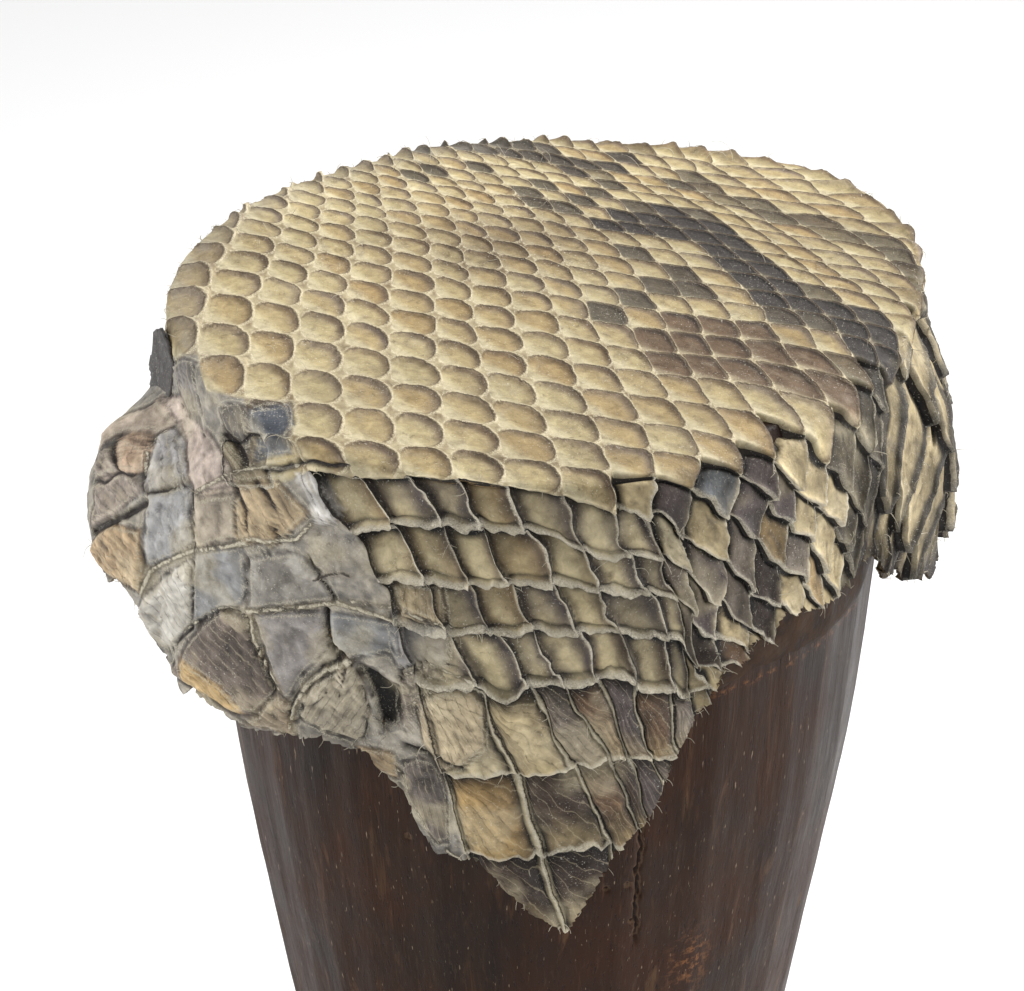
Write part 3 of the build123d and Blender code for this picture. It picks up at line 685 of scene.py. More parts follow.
def one_scale(i, j, s, t, wide, tall, c, grain, fine):
    """Relief in millimetres, slide along the skin and colour of one scale. s runs to the
    right and t to the front, both from 0 to 1."""
    kind = kind_of[i, j]
    dark = dark_mid[i - A0, j - B0]
    k = min(wide, tall) / 10.0
    tone = SKIRT_TONE.get((i, j))
    if tone is not None:
        dark = 0.0
    slide_s = np.zeros_like(s)
    slide_t = np.zeros_like(s)
    if kind == "head":
        p = plate_power(i, j)
        x, y = (s - 0.45) * (2.0 - 0.1 * (p - 2.2)), (t - 0.53) * (2.0 - 0.1 * (p - 2.2))
        rho = (np.abs(x) ** p + np.abs(y) ** p) ** (1 / p)
        diag = (x - y) / 1.414
        up = smooth(diag, -0.45, 0.2)
        depth = (0.34 + 0.18 * c[0]) * k * (1 - 0.2 * (p - 2.2))
        slope = np.clip((diag + 1) / 2, 0, 1)
        bowl = (1 - smooth(rho, 0.2, 1.08)) * (1 - up) + (1 - smooth(rho, 0.8, 0.98)) * up
        h = -depth * bowl * (0.45 + 0.55 * slope)
        lip = np.exp(-((rho - 1.03) / 0.07) ** 2) * up
        u_, v_ = mid_uv[i - A0, j - B0]
        if 93 < math.hypot(u_, v_) < 104 and abs(math.degrees(math.atan2(u_, -v_))) > 62:
            h = h + (0.7 + 1.3 * c[7]) * smooth(s + (1 - t), 1.0, 1.9)
        h = h + k * lip * (0.12 + 0.45 * grain) + 0.12 * (grain - 0.5) * k
        # painted shade: each dished plate darkens towards its upper-right wall as if shadowed; low is its lit colour
        # and high its shaded colour
        shade = smooth(rho * (0.75 + 0.35 * diag), 0.35, 0.95) * smooth(diag, -0.9, 0.5)
        low = lerp(full(s.shape, srgb(192, 176, 134)), full(s.shape, srgb(174, 146, 98)), np.full(s.shape, 0.8 * c[2] ** 2))
        # painted highlight: the plate is lighter towards its lower left
        low = lerp(low, full(s.shape, srgb(222, 212, 176)), 0.7 * smooth(-diag, 0.1, 0.9))
        high = lerp(full(s.shape, srgb(146, 132, 120)), full(s.shape, srgb(132, 108, 82)), np.full(s.shape, c[3]))
        # lit and shaded copies of the scale's own tone
        if tone is not None:
            low, high = full(s.shape, tone * 1.15), full(s.shape, tone * 0.7)
        elif dull[i - A0, j - B0]:
            low, high = full(s.shape, srgb(112, 90, 68)), full(s.shape, srgb(58, 47, 42))
        plate = lerp(low, high, shade * (0.45 + 0.55 * c[4]))
        plate = lerp(plate, full(s.shape, srgb(150, 138, 120)), 0.4 * smooth(grain, 0.5, 0.8))
        ink = lerp(full(s.shape, srgb(64, 58, 55)), full(s.shape, BLACK * 0.8), np.clip(shade + 0.3 * (fine - 0.4), 0, 1))
        plate = lerp(plate, ink, np.full(s.shape, dark))
        # the net is mottled brown, more so on the upper-right side of the plate as painted shade
        net = lerp(full(s.shape, srgb(196, 182, 148)), full(s.shape, srgb(142, 124, 96)), smooth(grain, 0.35, 0.75) * (0.35 + 0.65 * up))
        net = lerp(net, full(s.shape, srgb(112, 102, 88)), np.full(s.shape, dark * 0.8))
        col = lerp(plate, net, smooth(rho, 0.9 + 0.12 * (1 - up), 1.03 + 0.12 * (1 - up)))
        soft_corner = smooth(y - 0.35 * x, 0.45, 1.1) * (1 - up)
        col = lerp(col, full(s.shape, srgb(214, 202, 170) * (1 - 0.75 * dark)), 0.6 * soft_corner)
        # painted shadow: a thin dark line in the groove along the upper right of the plate
        rim_line = np.exp(-((rho - 0.95) / 0.045) ** 2)
        col = lerp(col, full(s.shape, srgb(92, 76, 60) * (1 - 0.4 * dark)), rim_line * up * (0.35 + 0.3 * fine))
    elif kind == "band":
        depth = min(3.2, 0.21 * tall)
        ridge = smooth(t, 0.0, 0.06)
        cup = 1 - np.abs(2 * s - 1) ** 3
        h = -depth * ridge * (1 - t) ** 0.9 * (0.6 + 0.4 * cup) - 0.5 * (1 - s) * smooth(s, 0.0, 0.1) * ridge * smooth(1 - t, 0.0, 0.1)
        crest = np.exp(-((1 - t) / 0.055) ** 2) + np.exp(-(t / 0.022) ** 2)
        h = h + crest * (0.25 + 1.2 * grain) - 0.5 * np.exp(-((t - 0.9) / 0.04) ** 2) * (1 - crest)
        slide_t = ridge_line(i, j, s) * np.exp(-(t / 0.2) ** 2) + 1.6 * np.exp(-(t / 0.03) ** 2) * (fine - 0.35)
        if (i, j + 1) in kind_of:
            slide_t = slide_t + ridge_line(i, j + 1, s) * np.exp(-((1 - t) / 0.2) ** 2) + 1.6 * np.exp(-((1 - t) / 0.05) ** 2) * (fine - 0.35)
        rib = np.exp(-(s / 0.045) ** 2) + np.exp(-((1 - s) / 0.07) ** 2)
        h = h + (0.35 + 0.9 * c[9]) * rib * (0.3 + 1.0 * fine)
        slide_s = 0.9 * np.exp(-((1 - s) / 0.1) ** 2) * (grain - 0.4) + 0.9 * np.exp(-(s / 0.1) ** 2) * (grain - 0.4)
        base = full(s.shape, tone if tone is not None else GREY)
        khaki = full(s.shape, srgb(216, 201, 162))
        warm = np.clip(1.15 - np.abs(s - 0.42) / 0.42, 0, 1) * (0.4 + 0.75 * c[2]) + 0.3 * (t - 0.5)
        base = lerp(base * 0.85, khaki, np.clip(warm + 0.6 * (grain - 0.5), 0, 1))
        # painted shade: darker towards the right side of each scale
        base = lerp(base, full(s.shape, srgb(70, 62, 64)), 0.75 * smooth(s, 0.55, 0.92) * (0.4 + 0.6 * c[3]))
        # painted shade: darker on the left side, in the shadow of the rib
        base = lerp(base, full(s.shape, srgb(58, 44, 36)), 0.9 * (1 - smooth(s, 0.04, 0.34)) * (0.4 + 0.6 * c[4]))
        # painted shadow under the overhanging crest at the top of each scale
        col = lerp(full(s.shape, UMBER * 0.4), base, smooth(t, 0.03, 0.3))
        crest_col = lerp(full(s.shape, srgb(112, 104, 94)), full(s.shape, srgb(196, 184, 156)), np.clip(2.2 * fine - 0.6, 0, 1))
        col = lerp(col, crest_col, np.clip(crest * 1.1 + rib * (0.35 + 0.5 * fine), 0, 1))
    elif kind == "bunch":
        lift = np.clip(0.55 * s + 0.45 * t + 0.25 * (c[0] - 0.5) * (2 * s - 1), 0, 1)
        x, y = 2 * s - 1, 2 * t - 1
        h = (1.35 if i < 18 else 0.8) * k * (2.2 * lift ** 1.25 - 1.35) - 0.35 * k * (1 - np.abs(x) ** 2) * (1 - np.abs(y) ** 2)
        sunk = np.maximum(1 - smooth(s, 0.05, 0.36), 0.95 * (1 - smooth(t, 0.03, 0.24)))
        rim = np.maximum(np.exp(-((1 - s) / 0.09) ** 2), np.exp(-((1 - t) / 0.07) ** 2))
        h = h + rim * (0.2 + 1.1 * fine) * (0.5 + 0.6 * c[6]) - 0.7 * k * sunk
        slide_s = 1.3 * rim * (fine - 0.4)
        slide_t = 1.6 * rim * (grain - 0.4)
        base = full(s.shape, tone if tone is not None else CREAM * (0.32 + 0.5 * c[2] if i >= 18 else 0.72 + 0.5 * c[2]))
        base = lerp(base * 0.62, base * 1.22, np.clip(0.6 + 1.3 * (grain - 0.5) - 0.25 * x, 0, 1))
        base = lerp(base, full(s.shape, srgb(96, 88, 80)), 0.6 * smooth(fine * 0.6 + grain * 0.6, 0.62, 0.85))
        base = lerp(base, full(s.shape, BLACK), np.full(s.shape, dark * 0.92))
        # painted shadow in the sunken left and top of each scale
        col = lerp(base, full(s.shape, UMBER * 0.22), sunk * 0.95)
        edge_col = lerp(full(s.shape, srgb(92, 86, 80)), full(s.shape, srgb(200, 188, 158)), np.clip(2.6 * fine - 0.9, 0, 1))
        # painted shade: the long flap scales get darker rims and dark sides
        if i >= 18:
            edge_col = edge_col * 0.5
            rim = rim * 0.4
            col = lerp(col, full(s.shape, UMBER * 0.18), 0.95 * smooth(np.abs(x), 0.5, 0.8))
        col = lerp(col, edge_col * (1 - 0.6 * dark), rim * 0.85)
    elif kind == "leather":
        over = t * 0.6 + (1 - s) * 0.6
        rings = np.sin((over * 12 + 3.5 * grain) * math.pi)
        x, y = 2 * s - 1, 2 * t - 1
        rho = (np.abs(x) ** 3.5 + np.abs(y) ** 3.5) ** (1 / 3.5)
        h = 2.3 * k * (over - 0.6) + 0.1 * rings - 0.5 * k * smooth(rho, 0.9, 1.02)
        base = tone if tone is not None else (srgb(150, 134, 108) if c[5] < 0.45 else (srgb(100, 96, 90) if c[5] < 0.8 else srgb(172, 158, 130)))
        base = full(s.shape, base) * (1 + 0.12 * rings[..., None]) * (0.65 + 0.6 * grain[..., None])
        base = lerp(base, full(s.shape, BLACK), np.full(s.shape, 0.8 * dark))
        base = lerp(base, full(s.shape, srgb(74, 66, 58)), 0.6 * smooth(x - y, -0.4, 1.6) * (0.4 + 0.6 * c[1]))
        col = lerp(base, full(s.shape, UMBER), 0.75 * smooth(rho, 0.93, 1.0) * smooth(x - y, -1.0, 0.6))
        col = lerp(col, full(s.shape, srgb(182, 172, 148)), 0.65 * smooth(rho, 0.9, 0.99) * smooth(y - x, -0.2, 0.8) * (0.3 + 0.9 * fine))
    elif kind == "plain":
        h = 0.9 * (grain - 0.5) + 0.25 * (fine - 0.5)
        col = lerp(full(s.shape, srgb(130, 128, 126)), full(s.shape, srgb(182, 175, 162)), np.clip(1.6 * grain - 0.3, 0, 1))
    elif kind == "hide":
        x, y = 2 * s - 1, 2 * t - 1
        rho = np.maximum(np.abs(x), np.abs(y))
        crack = smooth(rho, 0.94, 0.995)
        h = 0.45 * k * (1 - rho ** 4) + 0.5 * k * (t * 0.5 + (1 - s) * 0.4 - 0.5) - 0.5 * crack + 0.3 * (grain - 0.5)
        base = full(s.shape, (tone if tone is not None else GREY)) * (0.8 + 0.4 * grain[..., None])
        base = lerp(base, full(s.shape, srgb(128, 128, 128)), 0.5)
        col = lerp(base, full(s.shape, UMBER * 1.1), crack * 0.75)
        col = lerp(col, full(s.shape, srgb(168, 160, 142)), 0.5 * smooth(rho, 0.84, 0.93) * (1 - crack) * smooth(y - x, 0.0, 0.9) * fine * 1.5)
    else:
        fan = np.arctan2(t + 0.08, s + 0.08)
        rings = np.sin((fan * 4.2 + 1.6 * grain) * math.pi * 2)
        x, y = 2 * s - 1, 2 * t - 1
        h = 0.9 * (1 - np.abs(x) ** 3) - 0.5 - 1.6 * (1 - smooth(t, 0.0, 0.3)) * smooth(t, 0.0, 0.03) + 0.12 * rings
        h = h + 0.7 * (c[0] - 0.5) * x + 1.0 * (c[1] - 0.4) * t
        h = h - 0.7 * smooth(np.abs(x), 0.78, 0.88) + 1.2 * smooth(np.abs(x), 0.88, 0.98)
        base = full(s.shape, (tone if tone is not None else GREY)) * (1 + 0.2 * rings[..., None]) * (0.7 + 0.6 * grain[..., None])
        base = lerp(base, full(s.shape, srgb(186, 168, 126)), 0.55 * smooth(t + 0.4 * (grain - 0.5), 0.5, 0.95) * (0.3 + 0.7 * c[2]))
        base = lerp(base, full(s.shape, srgb(66, 54, 46)), 0.6 * smooth(np.abs(x + 0.3 * (c[3] - 0.5)), 0.35, 0.95) * c[4])
        # painted shadow at the top of each scale, under the row above
        col = lerp(full(s.shape, UMBER * 0.4), base, smooth(t, 0.02, 0.2))
        corner = np.hypot(1.2 * s, 1.1 - t)
        col = lerp(col, full(s.shape, srgb(52, 44, 40)), smooth(corner + 0.5 * (grain - 0.5), 0.75, 1.35) * (0.45 + 0.5 * c[6]))
        # painted shade in the groove near each side
        col = lerp(col, full(s.shape, UMBER * 0.6), 0.8 * smooth(np.abs(x), 0.74, 0.84))
        col = lerp(col, full(s.shape, srgb(188, 176, 146)) * (0.7 + 0.6 * fine[..., None]), 0.85 * smooth(np.abs(x), 0.86, 0.94))
        crest = np.exp(-((1 - t) / 0.03) ** 2) + np.exp(-(t / 0.015) ** 2)
        h = h + crest * 1.0 * grain
        crest_col = lerp(full(s.shape, srgb(120, 110, 96)), full(s.shape, srgb(206, 194, 164)), np.clip(2.2 * fine - 0.6, 0, 1))
        col = lerp(col, crest_col, np.clip(crest, 0, 1) * 0.9)
        slide_t = 1.5 * np.exp(-((1 - t) / 0.05) ** 2) * (fine - 0.35) + 1.5 * np.exp(-(t / 0.03) ** 2) * (fine - 0.35)
    return h, slide_s, slide_t, col


def corners_of(g):
    return np.stack([g[:-1, :-1], g[:-1, 1:], g[1:, 1:], g[1:, :-1]], -1)


cell_place, cell_mark = [], []
ground = skin_surface(uv)
grain_v = fbm(ground, 2.6, 3, 3)
fine_v = noise3(ground, 1.3, 9)
for i, j in cells:
    ia, ib = start_a[i - A0], start_a[i - A0 + 1]
    ja, jb = start_b[j - B0], start_b[j - B0 + 1]
    block = ids[ia:ib + 1, ja:jb + 1]
    s, t = np.meshgrid(line_a[ia:ib + 1] - i, line_b[ja:jb + 1] - j, indexing="ij")
    q = uv[block]
    wide = np.linalg.norm(q[-1, q.shape[1] // 2] - q[0, q.shape[1] // 2])
    tall = np.linalg.norm(q[q.shape[0] // 2, -1] - q[q.shape[0] // 2, 0])
    chance = CHANCE[i - A0, j - B0]
    if kind_of[i, j] == "bunch" and i >= 18:
        # long scales, two lattice cells wide and three tall, staggered from column to column
        beside = (i - 18) % 2
        along = (j + (i - 18) // 2) % 3
        s, t = (s + beside) / 2, (t + along) / 3
        wide, tall = wide * 2, tall * 3
        chance = CHANCE[i - beside - A0, max(j - along, B0) - B0]
    h, ss, st, col = one_scale(i, j, s, t, wide, tall, chance, grain_v[block], fine_v[block])
    e_s = (q[-1, q.shape[1] // 2] - q[0, q.shape[1] // 2]) / max(wide, 1e-6)
    e_t = (q[q.shape[0] // 2, -1] - q[q.shape[0] // 2, 0]) / max(tall, 1e-6)
    flat = block.ravel()
    np.add.at(height, flat, h.ravel())
    np.add.at(slide, flat, (ss[..., None] * e_s + st[..., None] * e_t).reshape(-1, 2))
    np.add.at(colour, flat, col.reshape(-1, 3))
    np.add.at(count, flat, 1)
    quads.append(corners_of(block).reshape(-1, 4))
    spot = np.stack([corners_of(s), corners_of(t)], -1).reshape(-1, 4, 2)
    kind = kind_of[i, j]
    mark = [kind == "head", kind == "band", kind in ("fan", "leather", "hide"), kind == "bunch",
            wide, tall, chance[8], dark_mid[i - A0, j - B0], float(i >= 18), plate_power(i, j)]
    cell_place.append(spot)
    cell_mark.append(np.broadcast_to(np.array(mark, float), (len(spot), 10)))
quads = np.vstack(quads)
cell_place, cell_mark = np.vstack(cell_place), np.vstack(cell_mark)
height /= count
slide /= count[:, None]
colour /= count[:, None]

# listed marks
outline_gap = np.full(len(uv), 9.0)
pale_gap = np.full(len(uv), 9.0)
dark_gap = np.full(len(uv), 9.0)
phase = np.zeros(len(uv))
grown = np.zeros(len(uv))
for rgb, strength, lift, angle, outline in PATCHES:
    o = np.array(outline)
    near = np.nonzero(((uv > o.min(0) - 3) & (uv < o.max(0) + 3)).all(1))[0]
    if not len(near):
        continue
    gap = in_outline(uv[near], outline)
    w = smooth(gap + 0.9 * (fine_v[near] - 0.5), -0.5, 0.6)
    c = np.ones((len(near), 3)) * srgb(*rgb) * (0.95 + 0.8 * grain_v[near])[:, None]
    height[near] += lift * smooth(gap, 0.0, 2.5) * (0.75 + 0.5 * grain_v[near])
    if angle is not None:
        across = np.array([-math.sin(math.radians(angle)), math.cos(math.radians(angle))])
        rings = np.sin(uv[near] @ across * 2 * math.pi / 2.3 + 5.0 * grain_v[near])
        c = c * (1 + 0.2 * rings)[:, None]
        height[near] += 0.08 * rings * w
    line = np.exp(-(gap / 0.5) ** 2) * 0.5
    colour[near] = lerp(colour[near], c * np.array([1.06, 1.09, 1.2]), w * strength)
    height[near] -= 0.35 * line
    if strength > 0.72:
        outline_gap[near] = np.minimum(outline_gap[near], np.abs(gap))
    if angle is not None:
        phase[near] = np.where(gap > -0.5, uv[near] @ across / 3.6, phase[near])
        grown[near] = np.maximum(grown[near], smooth(gap, 0.0, 1.0))
for rgb, strength, half, lift, line in STROKES:
    o = np.array(line)
    near = np.nonzero(((uv > o.min(0) - 4 * half) & (uv < o.max(0) + 4 * half)).all(1))[0]
    if not len(near):
        continue
    w = np.exp(-(line_gap(uv[near], line) / half) ** 2)
    rough = 0.55 + 0.9 * fine_v[near] if lift > 0 else 1.0
    which = pale_gap if sum(rgb) > 330 else dark_gap
    which[near] = np.minimum(which[near], line_gap(uv[near], line) / max(half, 0.5))
    colour[near] = lerp(colour[near], np.ones((len(near), 3)) * srgb(*rgb), np.clip(w * strength * rough, 0, 1))
    height[near] += (0.6 if lift > 0 else 1.0) * lift * w * rough

# painted shade: hollows are darker than what stands round them, as if shadowed
def blur(values, reach):
    g = np.zeros((NA, NB))
    g[used] = values
    w = used.astype(float)
    for axis in (0, 1):
        for arr in ("g", "w"):
            src = g if arr == "g" else w
            c = np.cumsum(np.concatenate([np.zeros_like(np.take(src, [0], axis)), src], axis), axis)
            n = src.shape[axis]
            hi = np.clip(np.arange(n) + reach + 1, 0, n)
            lo = np.clip(np.arange(n) - reach, 0, n)
            res = np.take(c, hi, axis) - np.take(c, lo, axis)
            if arr == "g":
                g = res
            else:
                w = res
    return (g / np.maximum(w, 1e-9))[used]


cavity = np.clip((blur(height, 3) - height) / 0.7, 0, 1)
knob = np.clip((height - blur(height, 3)) / 0.6, 0, 1)
calm = 1 - smooth(s_v, 95, 104)
# painted shade in the hollows, more on the hanging skirt than on the head
colour *= (1 - (0.92 - 0.68 * calm) * cavity)[:, None]
# stains: darker and paler areas over the hanging part
stain = fbm(ground, 13.0, 121, 3)
colour = lerp(colour, colour * 0.5, smooth(stain, 0.52, 0.66) * (1 - calm) * 0.8)
colour = lerp(colour, colour * 0.72, smooth(fbm(ground, 24.0, 131, 3), 0.5, 0.66) * calm * 0.5)
colour = lerp(colour, np.ones_like(colour) * srgb(206, 194, 164), smooth(1 - stain, 0.56, 0.7) * (1 - calm) * 0.35)
colour = lerp(colour, colour * (1.12 + 0.2 * (1 - calm))[:, None] + 0.02, knob)
# the head is a little darker towards its middle and front, paler at the back
shade_of = 0.93 - 0.1 * smooth(uv[:, 0], -55, -5) + 0.2 * smooth(uv[:, 1], 30, 75)
colour *= (1 + (shade_of - 1) * (1 - smooth(s_v, 99, 106)))[:, None]
smudge = np.exp(-((uv[:, 0] + 10) ** 2 / 800 + (uv[:, 1] - 34) ** 2 / 400)) * (0.4 + 0.9 * grain_v)
colour = lerp(colour, colour * np.array([0.46, 0.4, 0.38]), np.clip(smudge * 0.8, 0, 1) * calm)
# dusty grey along the left and back of the rim
grey_rim = smooth(s_v, 86, 97) * calm * smooth(-uv[:, 0], -30, 30) * smooth(uv[:, 1], -60, -20)
colour = lerp(colour, np.ones_like(colour) * srgb(150, 145, 136), grey_rim * (0.15 + 0.6 * grain_v))
# the hem of the right-hand flap is darkened
angle_v = np.degrees(np.arctan2(uv[:, 0], -uv[:, 1]))
hem_darkening = (1 - smooth(limit - s_v, 2.0, 9.0)) * smooth(angle_v, 50, 62) * (1 - smooth(angle_v, 96, 110))
colour = lerp(colour, np.ones_like(colour) * srgb(52, 46, 44), hem_darkening * (0.5 + 0.6 * fine_v))

middle = uv[quads].mean(1)
keep = inside(middle)
quads = quads[keep]
cell_place, cell_mark = cell_place[keep], cell_mark[keep]
over = s_v > limit
uv[over] *= (limit[over] / s_v[over])[:, None]
normal, su, sv = skin_normal(uv)
base = skin_surface(uv + slide)
fade = smooth(np.abs(limit - s_v), 0.0, 1.5)
micro = (fbm(base, 1.6, 21, 2) - 0.5) * 0.22
outer = base + normal * (height + micro)[:, None]


def wood_under(d):
    """Radius of the wood under the skin, whose rim is rounded."""
    return table(BODY, d) - 6.0 * (1 - smooth(d, 1.0, 15.0)) ** 1.4


d_o = HEIGHT - outer[:, 2]
r_o = np.hypot(outer[:, 0], outer[:, 1])
least = wood_under(np.maximum(d_o, 1.6)) + 1.5
push = np.where((d_o > 3.0) & (s_v > 92), np.maximum(least - r_o, 0), 0)
outer[:, :2] *= (1 + push / np.maximum(r_o, 1))[:, None]
lin = np.unique(quads)
remap = np.full(len(uv), -1)
remap[lin] = np.arange(len(lin))
faces = remap[quads]
outer, col_v, uv_k = outer[lin], colour[lin], uv[lin]
marks = np.stack([pale_gap, dark_gap, outline_gap], -1)[lin]
growth = np.stack([phase, grown, np.zeros(len(uv))], -1)[lin]
print("skin quads", len(faces))

# flesh side: the same sheet seen from below, smooth, from just inside the rim to the torn edge
under_from = 93.0
s_k = np.hypot(uv_k[:, 0], uv_k[:, 1])
back = s_k[faces].min(1) > under_from
inner = outer - normal[lin] * (0.9 + 0.3 * fbm(outer, 6.0, 31, 2))[:, None]
need = np.unique(faces[back])
remap2 = np.full(len(outer), -1)
remap2[need] = np.arange(len(need)) + len(outer)
flesh = remap2[faces[back]][:, ::-1]
# close the torn edge between the two sides
edges = np.vstack([faces[:, [0, 1]], faces[:, [1, 2]], faces[:, [2, 3]], faces[:, [3, 0]]])
key = np.sort(edges, 1)
_, first, times = np.unique(key, axis=0, return_index=True, return_counts=True)
rim = edges[first[times == 1]]
rim = rim[s_k[rim].min(1) > under_from + 1]
wall = np.stack([rim[:, 1], rim[:, 0], remap2[rim[:, 0]], remap2[rim[:, 1]]], -1)
wall = wall[(wall >= 0).all(1)]
skin = mesh_object("head_skin_scales", outer * MM, faces)
paint(skin, "tone", col_v)
for name, values in (("marks", marks), ("growth", growth)):
    point = skin.data.attributes.new(name, "FLOAT_VECTOR", "POINT")
    point.data.foreach_set("vector", values.astype(np.float32).ravel())
for name, values in (("cell", np.concatenate([cell_place, np.repeat(cell_mark[:, None, 6:7], 4, 1)], -1)),
                     ("size", np.repeat(cell_mark[:, None, [4, 5, 7]], 4, 1)),
                     ("sort", np.repeat(cell_mark[:, None, [0, 1, 2]], 4, 1)),
                     ("sort_b", np.repeat(cell_mark[:, None, [3, 8, 9]], 4, 1))):
    corner = skin.data.attributes.new(name, "FLOAT_VECTOR", "CORNER")
    corner.data.foreach_set("vector", values.astype(np.float32).ravel())
def hairs(starts, normals, along, length, seed):
    """Thin curled fibres: three-sided tubes that leave the skin and droop."""
    rng = np.random.default_rng(seed)
    verts, faces_h = [], []
    for p, n, a in zip(starts, normals, along):
        size = length * rng.uniform(0.4, 1.3)
        curl = rng.normal(0, 0.7, 3)
        path, q = [], p - n * 0.2
        heading = n * rng.uniform(0.2, 0.8) + a * rng.uniform(-1, 1) + rng.normal(0, 0.35, 3)
        for step in range(7):
            heading = heading + 0.35 * curl + np.array([0, 0, -0.16]) * step * 0.5
            heading /= np.linalg.norm(heading)
            path.append(q)
            q = q + heading * size / 6
        path = np.array(path)
        thick = rng.uniform(0.07, 0.13)
        for w, c in enumerate(path):
            ahead = path[min(w + 1, 6)] - path[max(w - 1, 0)]
            ahead /= np.linalg.norm(ahead) + 1e-9
            one = np.cross(ahead, [0.3, 0.5, 0.81])
            one /= np.linalg.norm(one) + 1e-9
            two = np.cross(ahead, one)
            for turn in range(3):
                g = turn * 2 * math.pi / 3
                verts.append(c + thick * (1 - 0.5 * w / 6) * (math.cos(g) * one + math.sin(g) * two))
        o = len(verts) - 21
        for w in range(6):
            for turn in range(3):
                b_ = (turn + 1) % 3
                faces_h.append((o + 3 * w + turn, o + 3 * w + b_, o + 3 * w + 3 + b_, o + 3 * w + 3 + turn))
    return np.array(verts), np.array(faces_h)


both = np.vstack([outer, inner[need]])
flesh_col = lerp(TAN, BROWN, fbm(inner[need], 9.0, 41, 3)) * 0.8
under_faces = np.vstack([flesh, wall])
pick = np.unique(under_faces)
short = np.full(len(both), -1)
short[pick] = np.arange(len(pick))
under_pos = both[pick]
under_col = np.vstack([col_v, flesh_col])[pick]
under_faces = short[under_faces]
rng_h = np.random.default_rng(5)
crest_v = knob[lin] > 0.55
folded = np.nonzero((s_k > 99) & crest_v & (np.abs(np.degrees(np.arctan2(uv_k[:, 0], -uv_k[:, 1]))) < 105))[0]
calm_v = np.nonzero(s_k < 96)[0]
torn = np.nonzero((s_k > 99) & (np.abs(limit[lin] - s_k) < 1.2))[0]
rim_v = np.nonzero((s_k > 98) & (s_k < 102) & (np.abs(np.degrees(np.arctan2(uv_k[:, 0], -uv_k[:, 1]))) > 64))[0]
for pool, count_h, long_h, seed in ((folded, 300, 3.6, 1), (rim_v, 340, 2.2, 4), (calm_v, 40, 8.0, 2), (torn, 300, 2.4, 3)):
    chosen = rng_h.choice(pool, count_h, replace=False)
    hv, hf = hairs(outer[chosen], normal[lin][chosen], su[lin][chosen], long_h, seed)
    under_faces = np.vstack([under_faces, hf + len(under_pos)])
    under_pos = np.vstack([under_pos, hv])
    shade_h = srgb(214, 206, 186) * rng_h.uniform(0.75, 1.1, (count_h, 1))
    under_col = np.vstack([under_col, np.repeat(shade_h, 21, axis=0)])

# one stiff scale hangs loose below the left of the rim
tab_a, tab_d = np.meshgrid(np.linspace(-88, -76, 24), np.linspace(3, 25, 30), indexing="ij")
ta, td = (tab_a + 82) / 6, (tab_d - 14) / 11
inside_tab = (np.abs(ta) ** 1.6 + np.abs(td) ** 2.6) < 1.0 - 0.18 * np.sin(5 * ta + 3 * td) ** 2
tab_r = 101.6 + 1.6 * td - 2.6 * ta + 0.9 * td ** 2 + 0.5 * np.abs(ta * 0.8 + 0.2)
tab_pts = np.stack([tab_r * np.sin(np.radians(tab_a)), -tab_r * np.cos(np.radians(tab_a)), HEIGHT - tab_d], -1).reshape(-1, 3)
tab_ids = np.arange(tab_a.size).reshape(tab_a.shape)
tab_quads = corners_of(tab_ids).reshape(-1, 4)
tab_quads = tab_quads[inside_tab.ravel()[tab_quads].all(1)]
tab_out = tab_pts * [1.008, 1.008, 1]
tab_faces = np.vstack([tab_quads + len(tab_pts), tab_quads[:, ::-1]])
tab_edges = np.vstack([tab_quads[:, [0, 1]], tab_quads[:, [1, 2]], tab_quads[:, [2, 3]], tab_quads[:, [3, 0]]])
_, f_, n_ = np.unique(np.sort(tab_edges, 1), axis=0, return_index=True, return_counts=True)
e_ = tab_edges[f_[n_ == 1]]
tab_faces = np.vstack([tab_faces, np.stack([e_[:, 1] + len(tab_pts), e_[:, 0] + len(tab_pts), e_[:, 0], e_[:, 1]], -1)])
tab_all = np.vstack([tab_pts, tab_out])
tab_used = np.unique(tab_faces)
tab_map = np.full(len(tab_all), -1)
tab_map[tab_used] = np.arange(len(tab_used))
tab_tone = lerp(full(tab_used.shape, srgb(92, 90, 90)), full(tab_used.shape, srgb(52, 48, 48)), fbm(tab_all[tab_used], 2.2, 15, 3))
under_faces = np.vstack([under_faces, tab_map[tab_faces] + len(under_pos)])
under_pos = np.vstack([under_pos, tab_all[tab_used]])
under_col = np.vstack([under_col, tab_tone])
skin_under = mesh_object("head_skin_flesh_side", under_pos * MM, under_faces)
paint(skin_under, "tone", under_col)
far = skin_under.data.attributes.new("marks", "FLOAT_VECTOR", "POINT")
far.data.foreach_set("vector", np.full(3 * len(under_pos), 9, np.float32))


